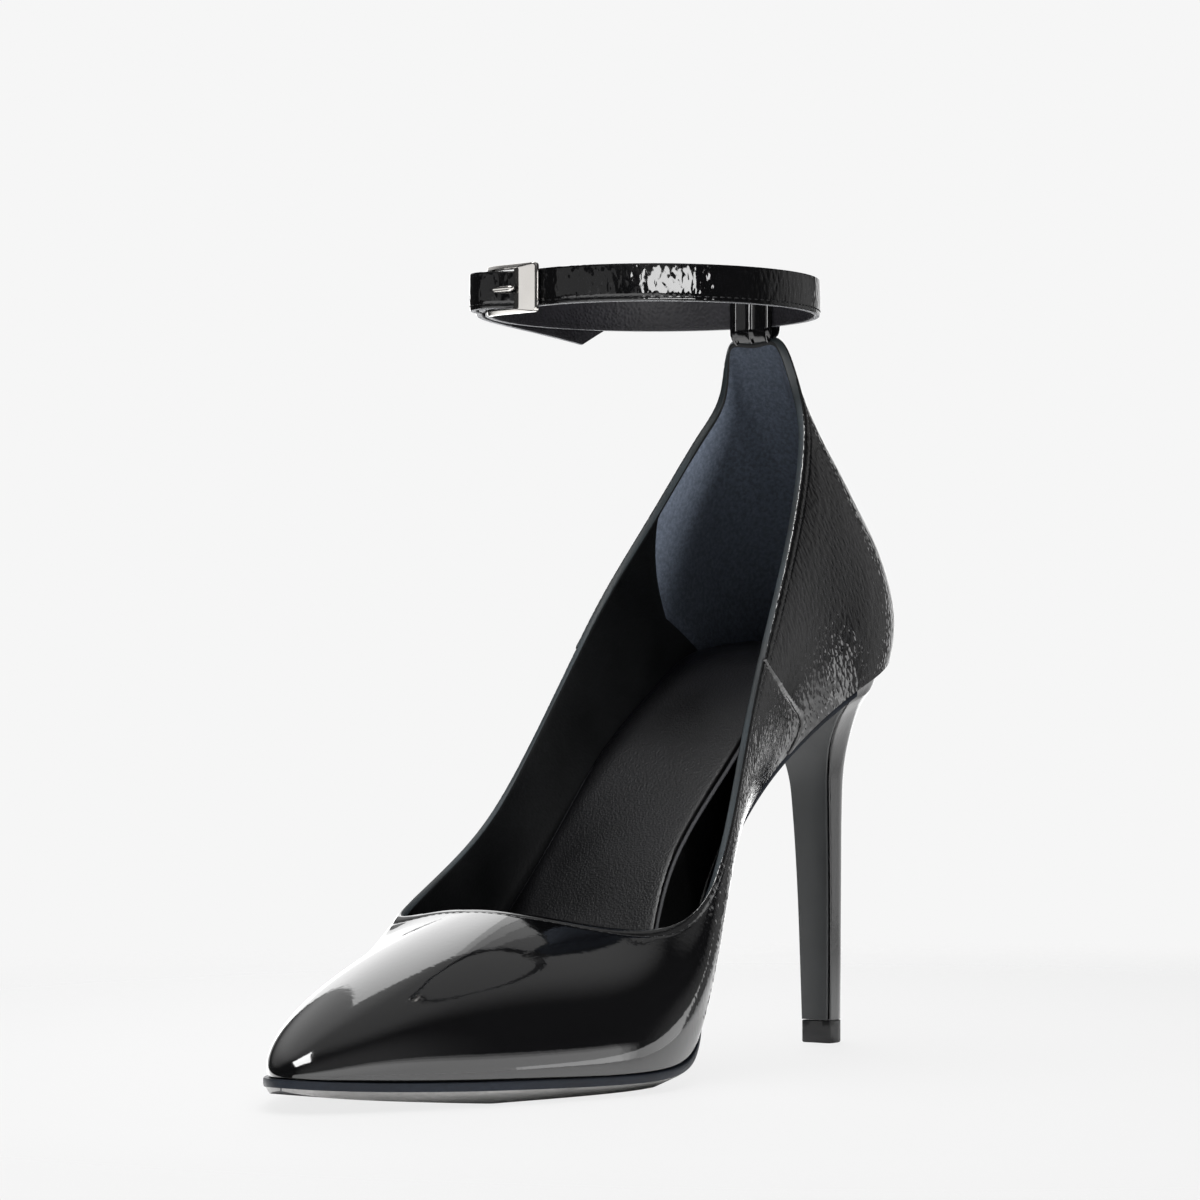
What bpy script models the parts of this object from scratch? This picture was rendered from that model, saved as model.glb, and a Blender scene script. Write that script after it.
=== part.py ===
"""Stiletto pump with a high back and a buckled ankle strap, as an assembly of its made pieces.

Sizes below are in millimetres and the meshes are in metres. The origin is the middle of the heel tip on
the floor, +X points to the toe, +Y to the outer side of this left shoe, and +Z is up.
"""

import math
from collections import namedtuple

import bmesh
import bpy
import numpy as np

MM = 0.001

# Driving sizes
FIT_GAP = 0.3             # glue line between pieces that meet
UPPER_WALL = 1.9          # patent leather, stiffener and lining together
SEAM_STEP = 0.5           # how far the back counter stands proud of the front of the upper
SEAM_FOOT = 8.3           # rib number where the counter's seam leaves the feather line
SEAM_TOP = 7.45           # rib number where it reaches the top edge
SOLE_REACH = 1.1          # how far the outsole's edge stands out from the upper
SOLE_TUCK = -0.6          # the same at the waist, where the edge is tucked under
SOLE_EDGE = 1.9           # height of the outsole's upright edge
SOLE_BEVEL = 0.80         # share of the width that stays flat between the under bevels
INSOLE_LIFT = 0.35       # from the feather line up to the insole's underside
INSOLE_CLEAR = 0.7        # from the upper's lining to the insole's edge
INSOLE_FRONT = 1.3        # rib numbers where the insole starts and ends
INSOLE_BACK = 12.4
HEEL_START = 5.9          # height where the heel block begins, above the top piece
TOP_PIECE_HEIGHT = 5.6
BREAST_THICK = 0.7
BREAST_RIM = 0.55         # heel cover left showing beside the breast strip
SEAT_RIB = 9.3            # rib number of the heel seat's front corners
SEAT_INSET = 0.5
SEAT_GAP = 0.4            # between the heel's seat and the upper above it
SOLE_FRONT = 0.15         # rib numbers where the outsole starts and ends
SOLE_BACK = 9.2
STRAP_WIDTH = 8.6
STRAP_THICK = 1.5
STRAP_MID_Z = 181.6       # height of the strap's middle line at the loop
STRAP_SAG = 0.025         # how much lower it runs for each millimetre forwards
STRAP_STEP = 4.6          # between cross sections round the ring
TAIL_LENGTH = 71.0        # from the buckle's middle to the lower corner of the free end
TAIL_OBLIQUE = 11.0       # how much longer the free end's upper corner is
TAIL_DROP = 3.5           # how far the free end hangs below the ring
TAIL_POINT = 0.22         # share of the width left at the upper corner
LOOP_HALF_LENGTH = 6.2    # half of the strap loop's width, along the ring
LOOP_WALL = 1.5
FRAME_HEIGHT = 11.4
FRAME_BAR = 1.2           # thickness of the frame's metal
FRAME_PLATE = 7.0         # width of the frame's broad outer bar
FRAME_END = 8.4           # from the buckle's middle to the end of the broad bar
FRAME_OUT = 1.0           # the frame's mid plane, outside the ring's middle line
HINGE_ALONG = -7.2        # from the buckle's middle to the hinge bar
PRONG_RADIUS = 0.7
PRONG_ROOM = 1.05         # radius of the hole and half the slot that the prong passes through
SLOT_BACK = 2.6           # ends of that slot, from the hinge bar
SLOT_FRONT = 2.7
SLOT_INSIDE = -2.5        # and its depth through both layers of the fold
SLOT_OUTSIDE = 3.7

# Mesh density
RING_COLUMNS = 84
RIB_STEPS = 11
SOLE_RUNGS = 36
FOOTBED_STEPS = 6
HEEL_SIDE_STEPS = 3
HEEL_ARC_STEPS = 6
HEEL_ROW_STEPS = 3
FOLD_STEPS = 6
TAIL_STEPS = 12
LOOP_SECTIONS = 5
PLAN_STEP = 0.5           # step for directions along the ankle ring
SMOOTH_EDGE = 35          # degrees past which an edge is drawn sharp

# The last, as ribs from the feather line up to the top edge. Places are in millimetres and angles in
# degrees. Flare is the wall's outward slope at the feather line and lean its inward slope at the top edge.
# Rise and draw are the lengths of the rib's two handles as a share of its chord.
Rib = namedtuple("Rib", "sole_x sole_y sole_z edge_x edge_y edge_z flare lean rise draw")
TOE_RIB = Rib(211.4, 1.0, 7.3, 137.0, -1.5, 38.7, 4, 79, 0.08, 0.44)
OUTER_RIBS = (
    Rib(207.0, 9.5, 6.9, 134.5, 4.5, 38.0, 9, 64, 0.13, 0.42),      # toe corner
    Rib(188.0, 22.0, 5.9, 129.5, 9.5, 36.9, 12, 57, 0.16, 0.42),    # toe side
    Rib(160.0, 33.2, 5.1, 121.0, 19.0, 34.8, 10, 50, 0.24, 0.36),   # vamp
    Rib(132.0, 39.2, 4.9, 110.5, 29.3, 35.4, 5, 30, 0.34, 0.34),    # ball
    Rib(110.0, 35.0, 9.0, 101.5, 33.4, 43.5, 16, 8, 0.34, 0.34),    # behind the ball
    Rib(90.0, 24.0, 27.0, 89.5, 31.8, 60.5, 27, 2, 0.34, 0.34),     # waist
    Rib(68.0, 15.0, 47.5, 76.0, 28.2, 84.0, 34, 2, 0.34, 0.34),     # shank
    Rib(42.0, 13.6, 70.5, 59.5, 24.6, 111.0, 32, 6, 0.34, 0.34),    # before the breast
    Rib(22.0, 20.2, 86.4, 44.8, 20.2, 133.0, 14, 14, 0.34, 0.34),   # heel side
    Rib(5.6, 19.6, 92.7, 34.0, 15.4, 150.5, 12, 22, 0.34, 0.34),    # heel corner
    Rib(-7.8, 13.7, 97.4, 30.3, 11.2, 163.0, 12, 23, 0.30, 0.37),   # heel quarter
    Rib(-10.5, 5.8, 99.1, 32.1, 7.0, 174.25, 6, 31, 0.29, 0.37),    # tab corner
)
BACK_RIB = Rib(-11.3, 0.0, 99.4, 31.8, 0.0, 174.4, 7, 32, 0.29, 0.38)
INNER_RIBS = (
    Rib(207.0, -7.0, 6.9, 137.6, -8.5, 38.7, 11, 60, 0.19, 0.44),
    Rib(188.0, -19.8, 5.9, 137.2, -16.0, 38.1, 11, 52, 0.21, 0.42),
    Rib(160.0, -31.0, 5.1, 137.3, -26.6, 36.7, 9, 40, 0.24, 0.36),
    Rib(132.0, -36.4, 4.9, 128.2, -31.0, 40.2, 5, 20, 0.34, 0.34),
    Rib(110.0, -33.0, 9.0, 112.0, -30.4, 50.0, 18, 8, 0.34, 0.34),
    Rib(90.0, -24.0, 27.0, 93.5, -30.8, 64.5, 30, 2, 0.34, 0.34),
    Rib(68.0, -15.5, 47.5, 77.5, -27.4, 88.5, 36, 2, 0.34, 0.34),
    Rib(42.0, -13.8, 70.5, 61.0, -24.8, 112.0, 32, 6, 0.34, 0.34),
    Rib(22.0, -20.2, 86.4, 45.7, -20.8, 132.6, 14, 14, 0.34, 0.34),
    Rib(5.6, -19.6, 92.7, 35.0, -14.8, 151.4, 12, 22, 0.34, 0.34),
    Rib(-7.8, -13.7, 97.4, 31.0, -10.6, 163.2, 12, 23, 0.30, 0.37),
    Rib(-10.5, -5.8, 99.1, 32.1, -7.0, 174.25, 6, 31, 0.29, 0.37),
)

# The outsole by rib number. Where its thickness would pass below the floor it is cut flat to stand on.
SoleRow = namedtuple("SoleRow", "rib thickness reach")
SOLE_ROWS = (
    SoleRow(0.0, 2.3, SOLE_REACH),        # toe, lifted by its spring
    SoleRow(2.0, 4.2, SOLE_REACH),
    SoleRow(3.0, 5.6, SOLE_REACH),        # ball, on the floor
    SoleRow(4.0, 5.6, SOLE_REACH),
    SoleRow(5.0, 4.4, 0.2),
    SoleRow(6.0, 3.4, SOLE_TUCK),         # waist
    SoleRow(SOLE_BACK, 3.0, SOLE_TUCK),   # heel breast
)

# The footbed by rib number: its height above the feather line, and how far its outer and inner edges stand
# out from the insole's narrow underside. Shank and padding fill the waist below it.
FootbedRow = namedtuple("FootbedRow", "rib rise outer inner")
FOOTBED_ROWS = (
    FootbedRow(INSOLE_FRONT, 2.4, 0.0, 0.0),
    FootbedRow(2.0, 2.4, 0.0, 0.0),
    FootbedRow(3.0, 2.7, -1.0, 0.0),
    FootbedRow(4.0, 5.1, -3.6, -0.5),     # ball
    FootbedRow(5.0, 14.0, -8.4, 0.0),
    FootbedRow(6.0, 20.0, -5.4, 4.4),     # waist
    FootbedRow(7.0, 27.5, 6.0, 9.4),      # shank
    FootbedRow(8.0, 24.0, 6.8, 7.2),
    FootbedRow(9.0, 13.6, 1.2, 1.4),      # heel side
    FootbedRow(10.0, 8.6, 0.6, 0.6),
    FootbedRow(11.0, 4.6, 0.1, 0.1),
    FootbedRow(INSOLE_BACK, 3.2, 0.0, 0.0),
)

# The heel's cross sections from the tip up. Each is a U: a flat breast, sides that run back to the widest
# place, and a half ellipse behind it. The seat above them comes from the last.
HeelRow = namedtuple("HeelRow", "breast_x breast_z breast_half widest_x half_width back_x back_z")
HEEL_ROWS = (
    HeelRow(4.3, HEEL_START, 4.25, 1.0, 4.25, -3.6, HEEL_START),    # tip
    HeelRow(5.1, 36.0, 4.9, 1.6, 4.95, -3.4, 36.0),                 # lower stem
    HeelRow(6.4, 57.0, 5.5, 2.4, 5.6, -3.1, 57.0),                  # upper stem
    HeelRow(7.6, 67.5, 6.2, 3.0, 6.4, -3.3, 68.5),                  # neck
    HeelRow(9.8, 75.0, 8.4, 4.4, 8.8, -3.7, 77.5),                  # flare
    HeelRow(13.2, 80.8, 12.6, 7.4, 13.0, -4.4, 86.5),               # shoulder
    HeelRow(16.4, 84.6, 17.0, 10.0, 17.6, -6.6, 93.2),              # under the seat
)

# The ankle ring's middle line on plan. It runs straight behind the buckle, which is the first point.
RingPoint = namedtuple("RingPoint", "x y")
RING_POINTS = (
    RingPoint(117.3, -10.6),     # buckle's middle
    RingPoint(118.1, -3.6),      # end of the broad bar
    RingPoint(117.6, 6.3),
    RingPoint(110.5, 21.2),
    RingPoint(97.1, 31.2),
    RingPoint(75.4, 36.0),       # outer side
    RingPoint(53.7, 31.2),
    RingPoint(37.8, 18.0),
    RingPoint(32.0, 0.0),        # strap loop
    RingPoint(37.8, -18.0),
    RingPoint(53.7, -31.4),
    RingPoint(75.4, -36.2),      # inner side
    RingPoint(94.5, -32.8),
    RingPoint(106.4, -26.2),
    RingPoint(113.2, -20.0),     # bend beside the hinge bar
    RingPoint(116.3, -16.2),
)
LOOP_POINT = 8

# The strap near its buckle: distance along the ring from the buckle's middle, and distance out from the
# ring. The buckled end folds round the hinge bar, and the other end comes back over it to lie outside.
StrapPoint = namedtuple("StrapPoint", "along out")
FOLD_FLAP = (StrapPoint(-11.6, 1.9), StrapPoint(-9.2, 2.5))
FOLD_RETURN = (StrapPoint(-9.4, -0.5), StrapPoint(-13.0, 0.0))
OVERLAP = (
    StrapPoint(14.0, 0.0),
    StrapPoint(8.6, -0.65),
    StrapPoint(2.5, -0.65),
    StrapPoint(0.0, -0.35),
    StrapPoint(-2.5, 1.5),
    StrapPoint(-5.2, 3.95),
    StrapPoint(-7.4, 4.7),
    StrapPoint(-9.8, 4.4),
    StrapPoint(-12.2, 3.7),
    StrapPoint(-15.5, 2.5),
    StrapPoint(-20.0, 2.0),
)
PRONG_PATH = (
    StrapPoint(-8.75, 1.0),
    StrapPoint(-8.5, 2.2),
    StrapPoint(-7.2, 2.65),
    StrapPoint(-2.0, 2.6),
    StrapPoint(2.6, 2.6),
)
PRONG_HOLE_START = 2             # the point on that path where the round hole takes over from the slot


def periodic_spline(knots, values, period, at):
    """Smooth closed curve through rows of values, read at the places given."""
    count = len(knots)
    spans = np.diff(np.append(knots, knots[0] + period))
    slopes = (np.roll(values, -1, axis=0) - values) / spans[:, None]
    matrix = np.zeros((count, count))
    for row in range(count):
        matrix[row, row - 1] += spans[row]
        matrix[row, row] += 2 * (spans[row - 1] + spans[row])
        matrix[row, (row + 1) % count] += spans[row - 1]
    span_before = np.roll(spans, 1)[:, None]
    pull = 3 * (spans[:, None] * np.roll(slopes, 1, axis=0) + span_before * slopes)
    tangents = np.linalg.solve(matrix, pull)
    at = (np.asarray(at) - knots[0]) % period + knots[0]
    index = np.clip(np.searchsorted(knots, at, side="right") - 1, 0, count - 1)
    after = (index + 1) % count
    span = spans[index][:, None]
    t = (at - knots[index])[:, None] / span
    return (
        (1 + 2 * t) * (1 - t) ** 2 * values[index]
        + t * (1 - t) ** 2 * span * tangents[index]
        + t * t * (3 - 2 * t) * values[after]
        + t * t * (t - 1) * span * tangents[after]
    )


def smooth_rows(rows, steps):
    """Rows along a smooth open curve through the ones given, with so many steps in each span."""
    values = np.array(rows, float)
    tangents = np.gradient(values, axis=0)
    found = []
    for i in range(len(values) - 1):
        for t in np.arange(steps) / steps:
            found.append(
                (1 + 2 * t) * (1 - t) ** 2 * values[i]
                + t * (1 - t) ** 2 * tangents[i]
                + t * t * (3 - 2 * t) * values[i + 1]
                + t * t * (t - 1) * tangents[i + 1]
            )
    return np.array(found + [values[-1]])


class Last:
    """The shape that the upper, insole, outsole and heel seat share, as a closed ring of ribs."""

    def __init__(self):
        """Puts the ribs in one ring and spaces them by their distance from each other."""
        self.values = np.array((TOE_RIB, *OUTER_RIBS, BACK_RIB, *reversed(INNER_RIBS)))
        half = len(OUTER_RIBS) + 2
        feet = np.linalg.norm(np.diff(self.values[:half, 0:3], axis=0), axis=1)
        edges = np.linalg.norm(np.diff(self.values[:half, 3:6], axis=0), axis=1)
        self.stations = np.concatenate([[0.0], np.cumsum(np.sqrt(feet + edges))])
        self.half_turn = self.stations[-1]
        self.turn = 2 * self.half_turn
        self.knots = np.concatenate([self.stations, self.turn - self.stations[-2:0:-1]])

    def place(self, rib_number):
        """The place along the outer half of the ring of a rib number, which may be a fraction."""
        return np.interp(rib_number, np.arange(len(self.stations)), self.stations)

    def rib_number(self, place):
        """The rib number at a place along the outer half of the ring."""
        return np.interp(place, self.stations, np.arange(len(self.stations)))

    def rows(self, places):
        """The rib columns at places along the ring, and the outward direction on plan."""
        values = periodic_spline(self.knots, self.values, self.turn, places)
        step = 1e-3 * self.turn
        ahead = periodic_spline(self.knots, self.values, self.turn, places + step)
        behind = periodic_spline(self.knots, self.values, self.turn, places - step)
        run = (ahead - behind)[:, :2]
        outward = np.stack([run[:, 1], -run[:, 0], np.zeros(len(run))], axis=1)
        return values, outward / np.linalg.norm(outward, axis=1)[:, None]

    def feather(self, places, reach):
        """Feather-line points, moved outwards on plan."""
        values, outward = self.rows(places)
        return values[:, :3] + np.reshape(reach, (-1, 1)) * outward

    def rungs(self, places, reach):
        """Feather-line points on the outer side, and their partners on the inner side."""
        return self.feather(places, reach), self.feather(self.turn - places, reach)

    def wall(self, places, heights):
        """Points on the outside of the upper, as an array of place by height by coordinate."""
        values, outward = self.rows(places)
        foot = values[:, 0:3]
        edge = values[:, 3:6]
        flare = np.radians(values[:, 6:7])
        lean = np.radians(values[:, 7:8])
        chord = edge - foot
        length = np.linalg.norm(chord, axis=1)[:, None]
        upward = chord - (chord * outward).sum(axis=1)[:, None] * outward
        upward /= np.linalg.norm(upward, axis=1)[:, None]
        low = foot + values[:, 8:9] * length * (np.cos(flare) * upward + np.sin(flare) * outward)
        high = edge - values[:, 9:10] * length * (np.cos(lean) * upward - np.sin(lean) * outward)
        t = np.asarray(heights)[None, :, None]
        return (
            (1 - t) ** 3 * foot[:, None]
            + 3 * t * (1 - t) ** 2 * low[:, None]
            + 3 * t * t * (1 - t) * high[:, None]
            + t ** 3 * edge[:, None]
        )


def make_finish(name, colour, roughness, metallic=0.0):
    """A plain principled material."""
    finish = bpy.data.materials.new(name)
    finish.use_nodes = True
    shader = finish.node_tree.nodes["Principled BSDF"]
    shader.inputs["Base Color"].default_value = (*colour, 1.0)
    shader.inputs["Roughness"].default_value = roughness
    shader.inputs["Metallic"].default_value = metallic
    return finish


def make_object(name, builder, finish=None):
    """A named object from a bmesh in millimetres, with its faces pointing out."""
    bmesh.ops.recalc_face_normals(builder, faces=builder.faces)
    bmesh.ops.scale(builder, vec=(MM, MM, MM), verts=builder.verts)
    mesh = bpy.data.meshes.new(name)
    builder.to_mesh(mesh)
    builder.free()
    mesh.shade_smooth()
    mesh.set_sharp_from_angle(angle=math.radians(SMOOTH_EDGE))
    if finish:
        mesh.materials.append(finish)
    item = bpy.data.objects.new(name, mesh)
    bpy.context.scene.collection.objects.link(item)
    return item


def cut(item, cutter):
    """Cuts one object from another and keeps the cutter as a hidden guide."""
    cutter.hide_render = True
    cutter.display_type = "WIRE"
    boolean = item.modifiers.new(cutter.name, "BOOLEAN")
    boolean.operation = "DIFFERENCE"
    boolean.object = cutter


def loft(sections, closed_run=False):
    """A bmesh skin over sections, which are rings with the same number of points."""
    builder = bmesh.new()
    rings = [[builder.verts.new(point) for point in section] for section in sections]
    pairs = list(zip(rings, rings[1:]))
    if closed_run:
        pairs.append((rings[-1], rings[0]))
    for first, second in pairs:
        for i in range(len(first)):
            j = (i + 1) % len(first)
            builder.faces.new((first[i], first[j], second[j], second[i]))
    if not closed_run:
        builder.faces.new(rings[0])
        builder.faces.new(rings[-1])
    return builder


def grid_normals(points):
    """Outward unit normals of a wall that is closed round its first axis."""
    around = np.roll(points, -1, axis=0) - np.roll(points, 1, axis=0)
    upward = np.gradient(points, axis=1)
    normals = np.cross(around, upward)
    return normals / np.linalg.norm(normals, axis=2)[:, :, None]


def make_upper(last, finish):
    """The lasted upper: one wall with a raised counter, open at the top edge and underneath."""
    places = np.linspace(0, last.turn, RING_COLUMNS, endpoint=False)
    heights = np.linspace(0, 1, RIB_STEPS)
    outside = last.wall(places, heights)
    normals = grid_normals(outside)
    inside = outside - UPPER_WALL * normals
    inside[:, 0, 2] = outside[:, 0, 2]      # the wall's underside lies flat on the sole
    from_toe = np.minimum(places, last.turn - places)[:, None]
    seam = last.place(SEAM_FOOT + (SEAM_TOP - SEAM_FOOT) * heights)[None, :]
    column_step = last.turn / RING_COLUMNS
    behind_seam = np.clip((from_toe - seam) / column_step, 0, 1)
    outside = outside + SEAM_STEP * behind_seam[:, :, None] * normals
    sections = [np.concatenate([out, back[::-1]]) for out, back in zip(outside, inside)]
    return make_object("upper", loft(sections, closed_run=True), finish)


def make_outsole(last, finish):
    """The outsole, toe to heel breast: an upright edge, an under bevel and a flat to stand on."""
    places = np.linspace(last.place(SOLE_FRONT), last.place(SOLE_BACK), SOLE_RUNGS)
    ribs, thickness, reach = np.array(SOLE_ROWS).T
    numbers = last.rib_number(places)
    outer, inner = last.rungs(places, np.interp(numbers, ribs, reach))
    sections = []
    for out, back, thick in zip(outer, inner, np.interp(numbers, ribs, thickness)):
        top = out[2] - FIT_GAP
        under = max(0.0, top - thick)
        middle = 0.5 * (out + back)
        flat_out = middle + SOLE_BEVEL * (out - middle)
        flat_back = middle + SOLE_BEVEL * (back - middle)
        sections.append(
            (
                (*out[:2], top),
                (*out[:2], top - SOLE_EDGE),
                (*flat_out[:2], under),
                (*flat_back[:2], under),
                (*back[:2], top - SOLE_EDGE),
                (*back[:2], top),
            )
        )
    return make_object("outsole", loft(sections), finish)


def make_insole(last, finish):
    """The padded sock on its board and shank, inside the upper from the toe to the back of the heel."""
    places = np.linspace(last.place(INSOLE_FRONT), last.place(INSOLE_BACK), SOLE_RUNGS)
    reach = -UPPER_WALL - INSOLE_CLEAR
    footbed = smooth_rows(FOOTBED_ROWS, FOOTBED_STEPS)
    numbers = last.rib_number(places)
    rise, outer, inner = [np.interp(numbers, footbed[:, 0], column) for column in footbed[:, 1:].T]
    under = last.rungs(places, reach)
    over = last.feather(places, reach + outer), last.feather(last.turn - places, reach + inner)
    sections = []
    for low_out, low_back, high_out, high_back, height in zip(*under, *over, rise):
        low = low_out[2] + INSOLE_LIFT
        high = low_out[2] + height
        sections.append(
            ((*low_out[:2], low), (*low_back[:2], low), (*high_back[:2], high), (*high_out[:2], high))
        )
    return make_object("insole", loft(sections), finish)


def heel_section(row):
    """Points of one heel section, from the outer breast corner round the back to the inner one."""
    row = HeelRow(*row)
    half = []
    for share in np.linspace(0, 1, HEEL_SIDE_STEPS + 1):
        along = row.breast_x + (row.widest_x - row.breast_x) * share
        half.append((along, row.breast_half + (row.half_width - row.breast_half) * share))
    for turn in np.linspace(0, math.pi / 2, HEEL_ARC_STEPS + 1)[1:]:
        back = row.widest_x - (row.widest_x - row.back_x) * math.sin(turn)
        half.append((back, row.half_width * math.cos(turn)))
    outline = half + [(x, -y) for x, y in reversed(half[:-1])]
    slope = (row.back_z - row.breast_z) / (row.back_x - row.breast_x)
    return [(x, y, row.breast_z + slope * (x - row.breast_x)) for x, y in outline]


def make_heel(last, finish):
    """The slim heel block, lofted from the tip to a seat that follows the upper's feather line."""
    sections = [heel_section(row) for row in smooth_rows(HEEL_ROWS, HEEL_ROW_STEPS)]
    start = last.place(SEAT_RIB)
    seat = last.feather(np.linspace(start, last.turn - start, len(sections[0])), -SEAT_INSET)
    seat[:, 2] -= SEAT_GAP
    return make_object("heel", loft(sections + [seat]), finish)


def make_heel_breast(finish):
    """The thin strip glued to the flat front of the heel."""
    sections = []
    for values in smooth_rows(HEEL_ROWS, HEEL_ROW_STEPS):
        row = HeelRow(*values)
        near = row.breast_x + FIT_GAP
        half = row.breast_half - BREAST_RIM
        face = ((near, half), (near, -half), (near + BREAST_THICK, -half), (near + BREAST_THICK, half))
        sections.append([(x, y, row.breast_z) for x, y in face])
    return make_object("heel_breast", loft(sections), finish)


def make_top_piece(finish):
    """The wearing tip under the heel, with its flat face on the floor."""
    tip = HEEL_ROWS[0]
    heights = (0.0, TOP_PIECE_HEIGHT)
    sections = [heel_section(tip._replace(breast_z=height, back_z=height)) for height in heights]
    return make_object("top_piece", loft(sections), finish)


class Ring:
    """The ankle ring's middle line, measured along its length from the buckle's middle."""

    def __init__(self):
        """Measures the chords between the ring's points."""
        self.points = np.array(RING_POINTS)
        chords = np.linalg.norm(np.roll(self.points, -1, axis=0) - self.points, axis=1)
        self.length = chords.sum()
        self.knots = np.cumsum(chords) - chords
        self.loop_along = self.knots[LOOP_POINT]

    def point(self, along, out=0.0, lift=0.0):
        """A point by distance along the ring, distance out from it and lift above it."""
        at = along + PLAN_STEP * np.array([0, 1, -1])
        place, ahead, behind = periodic_spline(self.knots, self.points, self.length, at)
        way = np.array([ahead[1] - behind[1], behind[0] - ahead[0]])
        place = place + out * way / np.linalg.norm(way)
        sag = STRAP_SAG * (place[0] - RING_POINTS[LOOP_POINT].x)
        return np.array([*place, STRAP_MID_Z - sag + lift])

    def strap_rows(self):
        """Rows of distance along, distance out and lift down the strap, from its fold to its free end."""
        rows = [(along, out, 0.0) for along, out in FOLD_FLAP]
        radius = FRAME_BAR / 2 + FIT_GAP + STRAP_THICK / 2
        for turn in np.linspace(math.pi / 2, -math.pi / 2, FOLD_STEPS + 1):
            along = HINGE_ALONG + radius * math.cos(turn)
            rows.append((along, FRAME_OUT + radius * math.sin(turn), 0.0))
        rows += [(along, out, 0.0) for along, out in FOLD_RETURN]
        overlap = [(along - self.length, out) for along, out in smooth_rows(OVERLAP, 2)]
        steps = round((rows[-1][0] - overlap[0][0]) / STRAP_STEP)
        for along in np.linspace(rows[-1][0], overlap[0][0], steps + 1)[1:-1]:
            rows.append((along, 0.0, 0.0))
        rows += [(along, out, 0.0) for along, out in overlap]
        tail_start, tail_out = overlap[-1]
        tail_end = -TAIL_LENGTH - self.length
        for share in np.linspace(0, 1, TAIL_STEPS + 1)[1:]:
            along = tail_start + (tail_end - tail_start) * share
            rows.append((along, tail_out, -TAIL_DROP * share ** 3))
        return rows


def make_ankle_strap(ring, finish):
    """The long strap: folded round the hinge bar, once round the ankle and back out over the fold."""
    rows = ring.strap_rows()
    half_widths = [STRAP_WIDTH / 2] * len(rows)
    along, out, lift = rows[-1]
    tip_half = TAIL_POINT * STRAP_WIDTH / 2
    rows.append((along - TAIL_OBLIQUE, out, lift + STRAP_WIDTH / 2 - tip_half))
    half_widths.append(tip_half)
    middle = np.array([ring.point(*row) for row in rows])
    run = np.gradient(middle[:, :2], axis=0)
    across = np.stack([run[:, 1], -run[:, 0]], axis=1)
    across *= STRAP_THICK / 2 / np.linalg.norm(across, axis=1)[:, None]
    sections = []
    for point, side, half in zip(middle, across, half_widths):
        corners = ((side, -half), (side, half), (-side, half), (-side, -half))
        sections.append([(*(point[:2] + shift), point[2] + lift) for shift, lift in corners])
    return make_object("ankle_strap", loft(sections), finish)


def make_strap_loop(ring, finish):
    """The flat loop at the top of the back that the strap runs through."""
    inner = (STRAP_THICK / 2 + FIT_GAP, STRAP_WIDTH / 2 + FIT_GAP)
    outer = (inner[0] + LOOP_WALL, inner[1] + LOOP_WALL)
    places = ring.loop_along + np.linspace(-LOOP_HALF_LENGTH, LOOP_HALF_LENGTH, LOOP_SECTIONS)
    sections = []
    for out_sign, up_sign in ((1, 1), (1, -1), (-1, -1), (-1, 1)):
        skin = [ring.point(along, out_sign * outer[0], up_sign * outer[1]) for along in places]
        core = [ring.point(along, out_sign * inner[0], up_sign * inner[1]) for along in places]
        sections.append(skin + core[::-1])
    return make_object("strap_loop", loft(sections, closed_run=True), finish)


def make_buckle_frame(ring, finish):
    """The buckle's frame: a hinge bar, two thin side bars and a broad outer bar."""
    half_bar = FRAME_BAR / 2
    corners = (
        (HINGE_ALONG - half_bar, HINGE_ALONG + half_bar, 1),
        (HINGE_ALONG - half_bar, HINGE_ALONG + half_bar, -1),
        (FRAME_END, FRAME_END - FRAME_PLATE, -1),
        (FRAME_END, FRAME_END - FRAME_PLATE, 1),
    )
    sections = []
    for outer_along, inner_along, side in corners:
        outer_lift = side * FRAME_HEIGHT / 2
        inner_lift = side * (FRAME_HEIGHT / 2 - FRAME_BAR)
        sections.append(
            (
                ring.point(outer_along, FRAME_OUT + half_bar, outer_lift),
                ring.point(outer_along, FRAME_OUT - half_bar, outer_lift),
                ring.point(inner_along, FRAME_OUT - half_bar, inner_lift),
                ring.point(inner_along, FRAME_OUT + half_bar, inner_lift),
            )
        )
    return make_object("buckle_frame", loft(sections, closed_run=True), finish)


def make_prong(ring, name, radius, path, finish=None):
    """A round bar along a path beside the ring, as a closed mesh."""
    curve = bpy.data.curves.new(name, "CURVE")
    curve.dimensions = "3D"
    curve.bevel_depth = radius * MM
    curve.bevel_resolution = 2
    curve.use_fill_caps = True
    spline = curve.splines.new("POLY")
    spline.points.add(len(path) - 1)
    for place, (along, out) in zip(spline.points, path):
        place.co = (*(ring.point(along, out) * MM), 1.0)
    guide = bpy.data.objects.new(name, curve)
    mesh = bpy.data.meshes.new_from_object(guide)
    bpy.data.objects.remove(guide, do_unlink=True)
    if finish:
        mesh.materials.append(finish)
    item = bpy.data.objects.new(name, mesh)
    bpy.context.scene.collection.objects.link(item)
    return item


def cut_prong_room(ring, strap):
    """Cuts the slot in the strap's fold and the hole in its other end that the prong passes through."""
    corners = (
        (SLOT_INSIDE, -PRONG_ROOM),
        (SLOT_INSIDE, PRONG_ROOM),
        (SLOT_OUTSIDE, PRONG_ROOM),
        (SLOT_OUTSIDE, -PRONG_ROOM),
    )
    places = (HINGE_ALONG - SLOT_BACK, HINGE_ALONG, HINGE_ALONG + SLOT_FRONT)
    sections = [[ring.point(along, out, lift) for out, lift in corners] for along in places]
    cut(strap, make_object("prong_slot", loft(sections)))
    cut(strap, make_prong(ring, "prong_hole", PRONG_ROOM, PRONG_PATH[PRONG_HOLE_START:]))


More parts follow.
